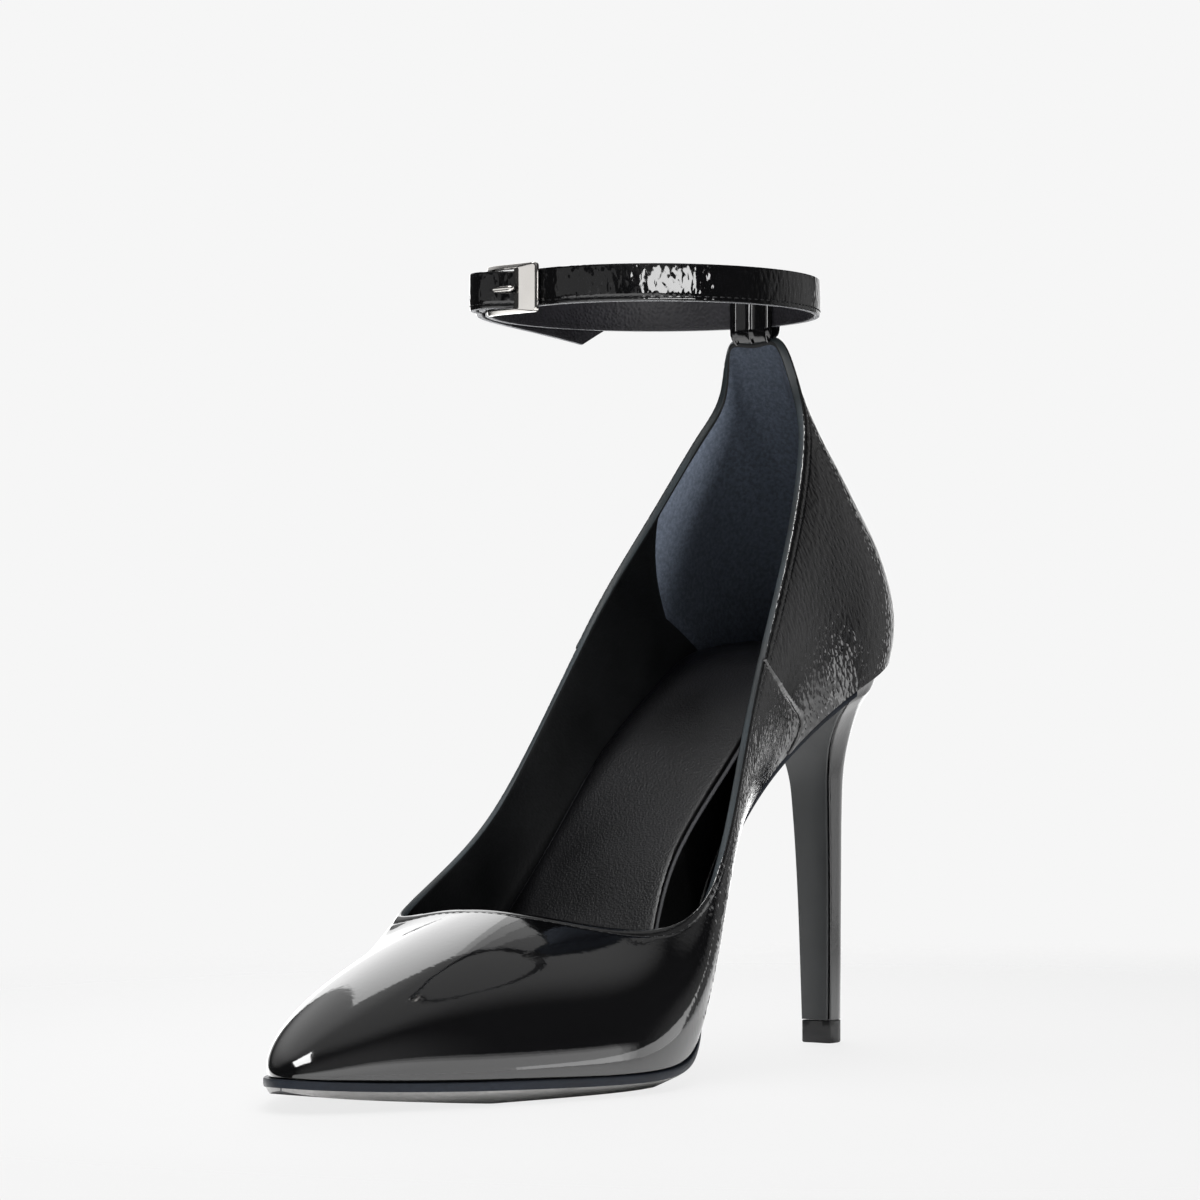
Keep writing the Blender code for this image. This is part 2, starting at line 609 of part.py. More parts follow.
def clear_scene():
    """Removes the objects of the start scene."""
    for item in list(bpy.data.objects):
        bpy.data.objects.remove(item, do_unlink=True)


def main():
    """Builds every piece."""
    clear_scene()
    patent = make_finish("black patent leather", (0.010, 0.010, 0.012), 0.10)
    last = Last()
    make_upper(last, patent)
    make_outsole(last, make_finish("black edge-dyed sole", (0.012, 0.012, 0.013), 0.45))
    make_insole(last, make_finish("black sock leather", (0.014, 0.014, 0.016), 0.55))
    make_heel(last, patent)
    make_heel_breast(make_finish("satin breast cover", (0.045, 0.047, 0.048), 0.42))
    make_top_piece(make_finish("black top-piece rubber", (0.012, 0.012, 0.012), 0.55))
    ring = Ring()
    strap = make_ankle_strap(ring, patent)
    cut_prong_room(ring, strap)
    make_strap_loop(ring, patent)
    metal = make_finish("polished nickel", (0.80, 0.79, 0.77), 0.12, 1.0)
    make_buckle_frame(ring, metal)
    make_prong(ring, "buckle_prong", PRONG_RADIUS, PRONG_PATH, metal)


if __name__ == "__main__":
    main()
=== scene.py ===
"""Looks of a black patent pump with a slim high heel and a buckled ankle strap.

Sizes are in millimetres and meshes in metres. The origin is the middle of the heel tip on the floor, +X
points to the toe, +Y to the outer side of this left shoe, and +Z is up.
"""

import logging
import math
from dataclasses import dataclass
from enum import Enum
from typing import Callable, NamedTuple, Sequence

import bmesh
import bpy
import numpy as np
from mathutils import Matrix, Vector

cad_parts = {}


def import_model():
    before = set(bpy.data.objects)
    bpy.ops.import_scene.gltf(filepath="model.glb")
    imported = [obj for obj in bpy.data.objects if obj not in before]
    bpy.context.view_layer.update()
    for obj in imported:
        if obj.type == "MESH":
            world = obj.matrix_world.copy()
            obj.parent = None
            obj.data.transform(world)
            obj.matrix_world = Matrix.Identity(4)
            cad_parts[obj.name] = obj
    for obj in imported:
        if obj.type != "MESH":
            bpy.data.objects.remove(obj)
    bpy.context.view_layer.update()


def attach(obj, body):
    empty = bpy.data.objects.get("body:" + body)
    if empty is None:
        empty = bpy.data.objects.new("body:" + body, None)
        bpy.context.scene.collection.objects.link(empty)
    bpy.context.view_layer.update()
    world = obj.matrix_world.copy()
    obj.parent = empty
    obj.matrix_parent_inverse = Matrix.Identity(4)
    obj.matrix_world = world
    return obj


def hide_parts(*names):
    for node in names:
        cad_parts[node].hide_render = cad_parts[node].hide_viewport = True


log = logging.getLogger("pump")

MM = 0.001
BODY = "root"
MERGE_DISTANCE = 1e-6     # metres, for the seams of a closed grid
SHARP_ANGLE = 40          # degrees past which an edge is drawn sharp
GLUE = 0.3                # between pieces that are glued
HINGE_ALONG = -7.2        # the buckle's hinge bar, along the ankle ring and out from it
HINGE_OUT = 1.0

Array = np.ndarray
Shape = Callable[[Array, Array], Array]
Zones = Callable[[Array, Array], Array]


def linear(hex_colour: str) -> tuple[float, float, float, float]:
    """Turns an sRGB hex value to a linear colour.

    Args:
        hex_colour: the colour as #rrggbb.

    Returns:
        Linear red, green, blue and an alpha of 1.
    """
    parts = [int(hex_colour[i:i + 2], 16) / 255 for i in (1, 3, 5)]
    red, green, blue = [c / 12.92 if c <= 0.04045 else ((c + 0.055) / 1.055) ** 2.4 for c in parts]
    return red, green, blue, 1.0


def smooth_step(values: Array, low: float, high: float) -> Array:
    """Rises smoothly from 0 at low to 1 at high; low may be the larger of the two."""
    share = np.clip((np.asarray(values) - low) / (high - low), 0, 1)
    return share * share * (3 - 2 * share)


def hump(values: Array, middle: float, width: float) -> Array:
    """A soft hump of height 1 about a middle."""
    return np.exp(-(((np.asarray(values) - middle) / width) ** 2))


def nearest(shares: Array, table: Sequence) -> Array:
    """Numbers of the rows at shares of the way through a table."""
    return np.round(shares * (len(table) - 1)).astype(int)


def add_node(tree: bpy.types.NodeTree, kind: str, sockets: dict, **settings) -> bpy.types.Node:
    """Adds a node with its settings and its sockets.

    Args:
        tree: the node tree.
        kind: the node's type name.
        sockets: for each input's name or number, an output socket to link or a plain value.
        settings: the node's own properties.

    Returns:
        The new node.
    """
    node = tree.nodes.new(kind)
    for key, value in settings.items():
        setattr(node, key, value)
    for key, source in sockets.items():
        if isinstance(source, bpy.types.NodeSocket):
            tree.links.new(source, node.inputs[key])
        else:
            node.inputs[key].default_value = source
    return node


class Grain(Enum):
    """How a surface breaks the light: in cells or clouds, how smooth or fine they are, and their warp."""

    CRUSHED = ("cells", 0.8, 1.1)
    PORES = ("cells", 0.6, 0.0)
    NAP = ("clouds", 6.0, 1.2)
    CUT = ("clouds", 4.0, 0.0)
    BUFFED = ("clouds", 2.0, 0.0)
    PLIED = ("clouds", 1.0, 0.4)


@dataclass(frozen=True)
class Finish:
    """One real material: its colours, gloss and grain, with the grain's size in millimetres.

    The colour drifts slowly between colour and drift over about drift_mm. The grain is grain_mm across
    and stretch times as long along its own Z, after the turn in degrees. Its relief fades out between two
    places along the shoe where fade gives them.
    """

    name: str
    slot: str
    grain: Grain
    colour: str
    drift: str
    roughness: float
    spread: float
    grain_mm: float
    relief_mm: float
    stretch: float = 1.0
    turn: tuple[float, float, float] = (0.0, 0.0, 0.0)
    fade: tuple[float, float] | None = None
    peel_mm: float = 0.0
    drift_mm: float = 18.0
    metallic: float = 0.0
    ior: float = 1.5
    sheen: float = 0.0

    WARP_SCALE = 0.6                # of the noise that bends the cells, where a cell is 1
    WARP_DETAIL = 2.0
    FADED = 0.02                    # share of the relief that is left past the fade
    PEEL = 0.05                     # height of the lacquer's own ripple, as a share of the relief
    DRIFT_SPAN = (0.35, 0.65)       # noise values between which the colour drifts
    GLOSS_SPAN = (0.3, 0.7)         # the same for the gloss
    DRIFT_DETAIL = 3.0
    SHEEN_ROUGHNESS = 0.4

    def relief(self, tree: bpy.types.NodeTree, place: bpy.types.NodeSocket) -> bpy.types.NodeSocket:
        """Builds the grain's height, from 0 to about 1.

        Args:
            tree: the material's nodes.
            place: object coordinates.

        Returns:
            The height socket.
        """
        across = 1 / (self.grain_mm * MM)
        scale = (across, across, across / self.stretch)
        turned = add_node(
            tree, "ShaderNodeMapping",
            {"Vector": place, "Rotation": tuple(math.radians(t) for t in self.turn)},
        )
        sized = add_node(tree, "ShaderNodeMapping", {"Vector": turned.outputs[0], "Scale": scale})
        kind, detail, warp = self.grain.value
        if kind == "cells":
            push = add_node(
                tree, "ShaderNodeTexNoise",
                {"Vector": sized.outputs[0], "Scale": self.WARP_SCALE, "Detail": self.WARP_DETAIL},
            )
            bent = add_node(
                tree, "ShaderNodeVectorMath",
                {0: push.outputs["Color"], 1: (warp, warp, warp), 2: sized.outputs[0]},
                operation="MULTIPLY_ADD",
            )
            texture = add_node(
                tree, "ShaderNodeTexVoronoi",
                {"Vector": bent.outputs[0], "Scale": 1.0, "Smoothness": detail}, feature="SMOOTH_F1",
            )
            height = texture.outputs["Distance"]
        else:
            texture = add_node(
                tree, "ShaderNodeTexNoise",
                {"Vector": sized.outputs[0], "Scale": 1.0, "Detail": detail, "Distortion": warp},
            )
            height = texture.outputs[0]
        if self.fade:
            split = add_node(tree, "ShaderNodeSeparateXYZ", {0: place})
            start, end = self.fade
            keep = add_node(
                tree, "ShaderNodeMapRange",
                {"Value": split.outputs["X"], "From Min": start * MM, "From Max": end * MM,
                 "To Min": 1.0, "To Max": self.FADED},
                interpolation_type="SMOOTHSTEP",
            )
            faded = add_node(tree, "ShaderNodeMath", {0: height, 1: keep.outputs[0]}, operation="MULTIPLY")
            height = faded.outputs[0]
        if self.peel_mm:
            fine = 1 / (self.peel_mm * MM)
            peel = add_node(tree, "ShaderNodeTexNoise", {"Vector": place, "Scale": fine, "Detail": 1.0})
            joined = add_node(
                tree, "ShaderNodeMath", {0: peel.outputs[0], 1: self.PEEL, 2: height},
                operation="MULTIPLY_ADD",
            )
            height = joined.outputs[0]
        return height

    def material(self) -> bpy.types.Material:
        """Builds the material once.

        Returns:
            The material, which pieces of the same finish share.
        """
        found = bpy.data.materials.get(self.name)
        if found:
            return found
        made = bpy.data.materials.new(self.name)
        made.use_nodes = True
        tree = made.node_tree
        shader = tree.nodes["Principled BSDF"]
        shader.inputs["Metallic"].default_value = self.metallic
        shader.inputs["IOR"].default_value = self.ior
        if self.sheen:
            shader.inputs["Sheen Weight"].default_value = self.sheen
            shader.inputs["Sheen Roughness"].default_value = self.SHEEN_ROUGHNESS
            shader.inputs["Sheen Tint"].default_value = linear(self.drift)
        place = add_node(tree, "ShaderNodeTexCoord", {}).outputs["Object"]
        height = self.relief(tree, place)
        slow = add_node(
            tree, "ShaderNodeTexNoise",
            {"Vector": place, "Scale": 1 / (self.drift_mm * MM), "Detail": self.DRIFT_DETAIL},
        )
        patch = add_node(
            tree, "ShaderNodeMapRange",
            {"Value": slow.outputs[0], "From Min": self.DRIFT_SPAN[0], "From Max": self.DRIFT_SPAN[1]},
        )
        mixed = add_node(tree, "ShaderNodeMath", {0: patch.outputs[0], 1: height}, operation="MULTIPLY")
        # Inputs 6 and 7 and output 2 are the mix node's colours
        colour = add_node(
            tree, "ShaderNodeMix",
            {0: mixed.outputs[0], 6: linear(self.colour), 7: linear(self.drift)}, data_type="RGBA",
        )
        gloss = add_node(
            tree, "ShaderNodeMapRange",
            {"Value": slow.outputs[0], "From Min": self.GLOSS_SPAN[0], "From Max": self.GLOSS_SPAN[1],
             "To Min": self.roughness - self.spread, "To Max": self.roughness + self.spread},
        )
        bump = add_node(
            tree, "ShaderNodeBump",
            {"Height": height, "Strength": 1.0, "Distance": self.relief_mm * MM},
        )
        tree.links.new(colour.outputs[2], shader.inputs["Base Color"])
        tree.links.new(gloss.outputs[0], shader.inputs["Roughness"])
        tree.links.new(bump.outputs[0], shader.inputs["Normal"])
        return made


# Patent leather: cowhide under a poured lacquer. It mirrors the room, smooth over the vamp, and crushed in
# fine wrinkles that climb towards the back over the quarters and the counter.
PATENT = Finish(
    "crushed patent leather", "patent", Grain.CRUSHED, "#070708", "#0b0b0d", 0.06, 0.02, 1.0, 0.17,
    stretch=2.0, turn=(0, -34, 0), fade=(72, 128), peel_mm=1.4, ior=1.6,
)
# The same leather cut as a narrow strap, where the wrinkles stand upright.
STRAP_PATENT = Finish(
    "creased strap patent", "patent", Grain.CRUSHED, "#070708", "#0b0b0d", 0.06, 0.02, 1.15, 0.13,
    stretch=2.2, peel_mm=1.0, ior=1.6,
)
# The same leather pulled tight over the heel block and the loop.
TIGHT_PATENT = Finish(
    "tight patent leather", "patent", Grain.CRUSHED, "#070708", "#0b0b0d", 0.06, 0.02, 1.0, 0.022,
    stretch=2.0, peel_mm=1.2, ior=1.6,
)
# Glazed goat lining: matt black with close pores.
LINING = Finish(
    "black lining leather", "sock", Grain.PORES, "#070809", "#0f1012", 0.56, 0.08, 0.7, 0.05, ior=1.3,
)
# The strap's own lining: black satin kid with close pores, a shade lighter than its lacquer.
STRAP_LINING = Finish(
    "satin strap lining", "patent", Grain.PORES, "#17161a", "#29282d", 0.52, 0.06, 0.8, 0.16, ior=1.4,
)
# Suede heel grip: navy-grey nap that scatters light and hides the lamp.
SUEDE = Finish(
    "navy suede grip", "sock", Grain.NAP, "#323944", "#535b68", 0.92, 0.05, 0.5, 0.10, sheen=0.15,
    drift_mm=0.9,
)
# The lining's own cut edge, painted once, which shows as a teal-grey line along the top edge.
EDGE_PAINT = Finish(
    "teal edge paint", "sock", Grain.CUT, "#161c1f", "#364249", 0.55, 0.08, 0.5, 0.05, stretch=3.0,
)
# Sock leather: a fine pressed grain with a low satin sheen.
SOCK = Finish(
    "black sock leather", "sock", Grain.PORES, "#0d0d10", "#17171b", 0.38, 0.06, 0.55, 0.06, ior=1.32,
)
# The sock's cut side, inked and glazed.
SOCK_EDGE = Finish(
    "inked sock edge", "sock", Grain.CUT, "#070708", "#161719", 0.42, 0.08, 0.7, 0.10,
)
# Wrapped insole board: grey cloth glued round fibre board.
BOARD = Finish(
    "grey wrapped board", "sock", Grain.NAP, "#414246", "#55565a", 0.6, 0.05, 0.4, 0.03,
)
# The outsole's edge: dyed navy black, waxed and burnished.
SOLE_EDGE = Finish(
    "waxed sole edge", "sole", Grain.CUT, "#0d1016", "#1a1f27", 0.42, 0.08, 0.6, 0.05, stretch=4.0,
    turn=(0, 90, 0), ior=1.22,
)
# The bevel below that edge, smooth; its pale grey colour is a painted reflection of the floor's light, not
# the leather's own colour.
SOLE_BEVEL_PAINTED_REFLECTION = Finish(
    "sole bevel painted with floor reflection", "sole", Grain.CUT, "#636362", "#848382", 0.42, 0.06, 0.8, 0.03, stretch=3.0,
    turn=(0, 90, 0),
)
# The outsole's underside: buffed black leather with a dull bloom.
SOLE_FACE = Finish(
    "black sole leather", "sole", Grain.NAP, "#121214", "#26262a", 0.50, 0.10, 0.6, 0.05,
)
# Heel breast: a calendered sheet, satin and even.
BREAST = Finish(
    "satin breast cover", "breast", Grain.NAP, "#1f2122", "#2a2c2d", 0.42, 0.05, 0.35, 0.012,
    drift_mm=30.0,
)
# Top piece: moulded polyurethane, dull and a little scuffed.
TIP_RUBBER = Finish(
    "moulded tip rubber", "tip_rubber", Grain.NAP, "#0b0b0c", "#222224", 0.50, 0.10, 0.9, 0.05,
)
# Nickel plate on a cast frame: buffed bright, with faint buffing lines.
NICKEL = Finish(
    "buffed nickel plate", "nickel", Grain.BUFFED, "#cbc8c4", "#b4b1ae", 0.16, 0.05, 0.12, 0.004,
    stretch=30.0, turn=(0, 90, 0), metallic=1.0,
)
# Bonded polyester thread: black, plied, with a waxy shine.
THREAD = Finish(
    "black bonded thread", "patent", Grain.PLIED, "#0d0d0f", "#1e1e21", 0.48, 0.08, 0.25, 0.05,
)
# The strap's cut edge: bare fibre and board between the lacquer and the lining.
RAW_EDGE = Finish(
    "bare strap edge", "patent", Grain.CUT, "#5c5d60", "#97989b", 0.62, 0.08, 0.4, 0.08,
)


def shaped_grid(columns: int, rows: int, shape: Shape, zones: Zones | None = None) -> bmesh.types.BMesh:
    """Moves the vertices of a flat grid onto a shape.

    Args:
        columns: faces along the first parameter.
        rows: faces along the second one.
        shape: points in millimetres for arrays of both parameters, each from 0 to 1.
        zones: the number of each face's finish, from the parameters at its middle.

    Returns:
        The grid in metres, with the doubles at its seams merged.
    """
    builder = bmesh.new()
    bmesh.ops.create_grid(builder, x_segments=columns, y_segments=rows, size=0.5)
    if zones:
        middles = np.array([face.calc_center_median() for face in builder.faces]) + 0.5
        for face, zone in zip(builder.faces, zones(middles[:, 0], middles[:, 1])):
            face.material_index = int(zone)
    flat = np.array([vert.co for vert in builder.verts]) + 0.5
    for vert, point in zip(builder.verts, shape(flat[:, 0], flat[:, 1]) * MM):
        vert.co = point
    bmesh.ops.remove_doubles(builder, verts=builder.verts, dist=MERGE_DISTANCE)
    return builder


def close_ends(builder: bmesh.types.BMesh) -> None:
    """Fills the open ends of a tube."""
    rims = [edge for edge in builder.edges if edge.is_boundary]
    bmesh.ops.holes_fill(builder, edges=rims, sides=0)


def add_piece(
    name: str, builder: bmesh.types.BMesh, finishes: Sequence[Finish], nodes: Sequence[str] = ()
) -> bpy.types.Object:
    """Makes a piece of the shoe from a bmesh in metres.

    Args:
        name: the piece's name.
        builder: its mesh, which is used up.
        finishes: its finishes by zone number.
        nodes: the solids that it stands for.

    Returns:
        The piece's object.
    """
    bmesh.ops.recalc_face_normals(builder, faces=builder.faces)
    mesh = bpy.data.meshes.new(name)
    builder.to_mesh(mesh)
    builder.free()
    mesh.shade_smooth()
    mesh.set_sharp_from_angle(angle=math.radians(SHARP_ANGLE))
    for finish in finishes:
        mesh.materials.append(finish.material())
    piece = bpy.data.objects.new(name, mesh)
    bpy.context.scene.collection.objects.link(piece)
    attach(piece, BODY)
    if nodes:
        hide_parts(*nodes)
    log.info("%s: %d faces", name, len(mesh.polygons))
    return piece


def add_stitches(
    name: str, runs: Sequence[tuple[Array, Array]], step: float, size: tuple[float, float, float]
) -> None:
    """Sews rows of stitches as one piece.

    Args:
        name: the piece's name.
        runs: for each row, points along it in millimetres and the surface's outward directions there.
        step: from one stitch to the next.
        size: half length, half width and half height of a stitch.
    """
    builder = bmesh.new()
    length, width, height = size
    for points, normals in runs:
        chords = np.linalg.norm(np.diff(points, axis=0), axis=1)
        along = np.concatenate([[0.0], np.cumsum(chords)])

        def read(rows: Array, place: float) -> Vector:
            """Reads points or directions at a distance along the row of stitches."""
            return Vector([np.interp(place, along, column) for column in rows.T])

        for middle in np.arange(step / 2, along[-1], step):
            back, front = read(points, middle - length), read(points, middle + length)
            run = (front - back).normalized()
            side = read(normals, middle).cross(run).normalized()
            axes = Matrix((run * length, side * width, run.cross(side) * height))
            turn = axes.transposed().to_4x4()
            turn.translation = (front + back) / 2
            bmesh.ops.create_icosphere(
                builder, subdivisions=1, radius=1.0, matrix=Matrix.Scale(MM, 4) @ turn
            )
    add_piece(name, builder, (THREAD,))


class Rib(NamedTuple):
    """One rib of the last, from the feather line to the top edge: places, slopes in degrees, handles."""

    sole_x: float
    sole_y: float
    sole_z: float
    edge_x: float
    edge_y: float
    edge_z: float
    flare: float
    lean: float
    rise: float
    draw: float


TOE_RIB = Rib(211.4, 1.0, 7.3, 137.0, -1.5, 38.7, 4, 79, 0.08, 0.44)
OUTER_RIBS = (
    Rib(207.0, 9.5, 6.9, 134.5, 4.5, 38.0, 9, 64, 0.13, 0.42),
    Rib(188.0, 22.0, 5.9, 129.5, 9.5, 36.9, 12, 57, 0.16, 0.42),
    Rib(160.0, 33.2, 5.1, 121.0, 19.0, 34.8, 10, 50, 0.24, 0.36),
    Rib(132.0, 39.2, 4.9, 110.5, 29.3, 35.4, 5, 30, 0.34, 0.34),
    Rib(110.0, 35.0, 9.0, 101.5, 33.4, 43.5, 16, 8, 0.34, 0.34),
    Rib(90.0, 24.0, 27.0, 89.5, 31.8, 60.5, 27, 2, 0.34, 0.34),
    Rib(68.0, 15.0, 47.5, 76.0, 28.2, 84.0, 34, 2, 0.34, 0.34),
    Rib(42.0, 13.6, 70.5, 59.5, 24.6, 111.0, 32, 6, 0.34, 0.34),
    Rib(22.0, 20.2, 86.4, 44.8, 20.2, 133.0, 14, 14, 0.34, 0.34),
    Rib(5.6, 19.6, 92.7, 34.0, 15.4, 150.5, 12, 22, 0.34, 0.34),
    Rib(-7.8, 13.7, 97.4, 30.3, 11.2, 163.0, 12, 23, 0.30, 0.37),
    Rib(-10.5, 5.8, 99.1, 32.1, 7.0, 174.25, 6, 31, 0.29, 0.37),
)
BACK_RIB = Rib(-11.3, 0.0, 99.4, 31.8, 0.0, 174.4, 7, 32, 0.29, 0.38)
INNER_RIBS = (
    Rib(207.0, -7.0, 6.9, 137.6, -8.5, 38.7, 11, 60, 0.19, 0.44),
    Rib(188.0, -19.8, 5.9, 137.2, -16.0, 38.1, 11, 52, 0.21, 0.42),
    Rib(160.0, -31.0, 5.1, 137.3, -26.6, 36.7, 9, 40, 0.24, 0.36),
    Rib(132.0, -36.4, 4.9, 128.2, -31.0, 40.2, 5, 20, 0.34, 0.34),
    Rib(110.0, -33.0, 9.0, 112.0, -30.4, 50.0, 18, 8, 0.34, 0.34),
    Rib(90.0, -24.0, 27.0, 93.5, -30.8, 64.5, 30, 2, 0.34, 0.34),
    Rib(68.0, -15.5, 47.5, 77.5, -27.4, 88.5, 36, 2, 0.34, 0.34),
    Rib(42.0, -13.8, 70.5, 61.0, -24.8, 112.0, 32, 6, 0.34, 0.34),
    Rib(22.0, -20.2, 86.4, 45.7, -20.8, 132.6, 14, 14, 0.34, 0.34),
    Rib(5.6, -19.6, 92.7, 35.0, -14.8, 151.4, 12, 22, 0.34, 0.34),
    Rib(-7.8, -13.7, 97.4, 31.0, -10.6, 163.2, 12, 23, 0.30, 0.37),
    Rib(-10.5, -5.8, 99.1, 32.1, -7.0, 174.25, 6, 31, 0.29, 0.37),
)


def periodic_spline(knots: Array, values: Array, period: float, at: Array) -> Array:
    """Reads a smooth closed curve through rows of values.

    Args:
        knots: rising places of the rows.
        values: one row for each knot.
        period: length of the closed curve.
        at: the places to read.

    Returns:
        One row for each place.
    """
    count = len(knots)
    spans = np.diff(np.append(knots, knots[0] + period))
    slopes = (np.roll(values, -1, axis=0) - values) / spans[:, None]
    matrix = np.zeros((count, count))
    for row in range(count):
        matrix[row, row - 1] += spans[row]
        matrix[row, row] += 2 * (spans[row - 1] + spans[row])
        matrix[row, (row + 1) % count] += spans[row - 1]
    span_before = np.roll(spans, 1)[:, None]
    pull = 3 * (spans[:, None] * np.roll(slopes, 1, axis=0) + span_before * slopes)
    tangents = np.linalg.solve(matrix, pull)
    at = (np.asarray(at) - knots[0]) % period + knots[0]
    index = np.clip(np.searchsorted(knots, at, side="right") - 1, 0, count - 1)
    after = (index + 1) % count
    span = spans[index][:, None]
    t = (at - knots[index])[:, None] / span
    return (
        (1 + 2 * t) * (1 - t) ** 2 * values[index]
        + t * (1 - t) ** 2 * span * tangents[index]
        + t * t * (3 - 2 * t) * values[after]
        + t * t * (t - 1) * span * tangents[after]
    )


def smooth_rows(rows: Sequence, steps: int) -> Array:
    """Reads a smooth open curve through rows, with so many steps in each span.

    Args:
        rows: rows of numbers.
        steps: steps from one row to the next.

    Returns:
        The finer rows, with the last one given at the end.
    """
    values = np.array(rows, float)
    tangents = np.gradient(values, axis=0)
    found = []
    for i in range(len(values) - 1):
        for t in np.arange(steps) / steps:
            found.append(
                (1 + 2 * t) * (1 - t) ** 2 * values[i]
                + t * (1 - t) ** 2 * tangents[i]
                + t * t * (3 - 2 * t) * values[i + 1]
                + t * t * (t - 1) * tangents[i + 1]
            )
    return np.array(found + [values[-1]])


class Last:
    """The shape that the upper, insole, outsole and heel seat share, as a closed ring of ribs."""

    STEP = 1e-3     # share of the ring or of a rib over which its slope is measured

    def __init__(self) -> None:
        """Puts the ribs in one ring and spaces them by their distance from each other."""
        self.values = np.array((TOE_RIB, *OUTER_RIBS, BACK_RIB, *reversed(INNER_RIBS)))
        half = len(OUTER_RIBS) + 2
        feet = np.linalg.norm(np.diff(self.values[:half, 0:3], axis=0), axis=1)
        edges = np.linalg.norm(np.diff(self.values[:half, 3:6], axis=0), axis=1)
        self.stations = np.concatenate([[0.0], np.cumsum(np.sqrt(feet + edges))])
        self.half_turn = self.stations[-1]
        self.turn = 2 * self.half_turn
        self.knots = np.concatenate([self.stations, self.turn - self.stations[-2:0:-1]])

    def place(self, rib_number: Array | float) -> Array:
        """The place along the outer half of the ring of a rib number, which may be a fraction."""
        return np.interp(rib_number, np.arange(len(self.stations)), self.stations)

    def rib_number(self, place: Array) -> Array:
        """The rib number at a place along the outer half of the ring."""
        return np.interp(place, self.stations, np.arange(len(self.stations)))

    def rows(self, places: Array) -> tuple[Array, Array]:
        """Reads the ribs.

        Args:
            places: places along the ring.

        Returns:
            The rib columns there, and the outward directions on plan.
        """
        values = periodic_spline(self.knots, self.values, self.turn, places)
        step = self.STEP * self.turn
        ahead = periodic_spline(self.knots, self.values, self.turn, places + step)
        behind = periodic_spline(self.knots, self.values, self.turn, places - step)
        run = (ahead - behind)[:, :2]
        outward = np.stack([run[:, 1], -run[:, 0], np.zeros(len(run))], axis=1)
        return values, outward / np.linalg.norm(outward, axis=1)[:, None]

    def feather(self, places: Array, reach: Array | float) -> Array:
        """Feather-line points, moved outwards on plan."""
        values, outward = self.rows(places)
        return values[:, :3] + np.reshape(reach, (-1, 1)) * outward

    def surface(self, places: Array, heights: Array) -> Array:
        """Reads points on the outside of the upper.

        Args:
            places: places along the ring.
            heights: for each place, the share of the way up its rib.

        Returns:
            One point for each pair.
        """
        values, outward = self.rows(places)
        foot = values[:, 0:3]
        edge = values[:, 3:6]
        flare = np.radians(values[:, 6:7])
        lean = np.radians(values[:, 7:8])
        chord = edge - foot
        length = np.linalg.norm(chord, axis=1)[:, None]
        upward = chord - (chord * outward).sum(axis=1)[:, None] * outward
        upward /= np.linalg.norm(upward, axis=1)[:, None]
        low = foot + values[:, 8:9] * length * (np.cos(flare) * upward + np.sin(flare) * outward)
        high = edge - values[:, 9:10] * length * (np.cos(lean) * upward - np.sin(lean) * outward)
        t = np.asarray(heights)[:, None]
        return (
            (1 - t) ** 3 * foot + 3 * t * (1 - t) ** 2 * low + 3 * t * t * (1 - t) * high + t ** 3 * edge
        )

    def directions(self, places: Array, heights: Array) -> tuple[Array, Array]:
        """Reads how the outside of the upper faces.

        Args:
            places: places along the ring.
            heights: for each place, the share of the way up its rib.

        Returns:
            Unit directions out of the wall, and up along the rib.
        """
        step = self.STEP * self.turn
        around = self.surface(places + step, heights) - self.surface(places - step, heights)
        upward = self.surface(places, heights + self.STEP) - self.surface(places, heights - self.STEP)
        outward = np.cross(around, upward)
        outward /= np.linalg.norm(outward, axis=1)[:, None]
        return outward, upward / np.linalg.norm(upward, axis=1)[:, None]

    def edge_slope(self, places: Array) -> Array:
        """Measures the ribs at the top edge.

        Args:
            places: places along the ring.

        Returns:
            The millimetres of rib for a whole share of its height.
        """
        top = np.ones(len(places))
        run = self.surface(places, top) - self.surface(places, top - self.STEP)
        return np.linalg.norm(run, axis=1) / self.STEP


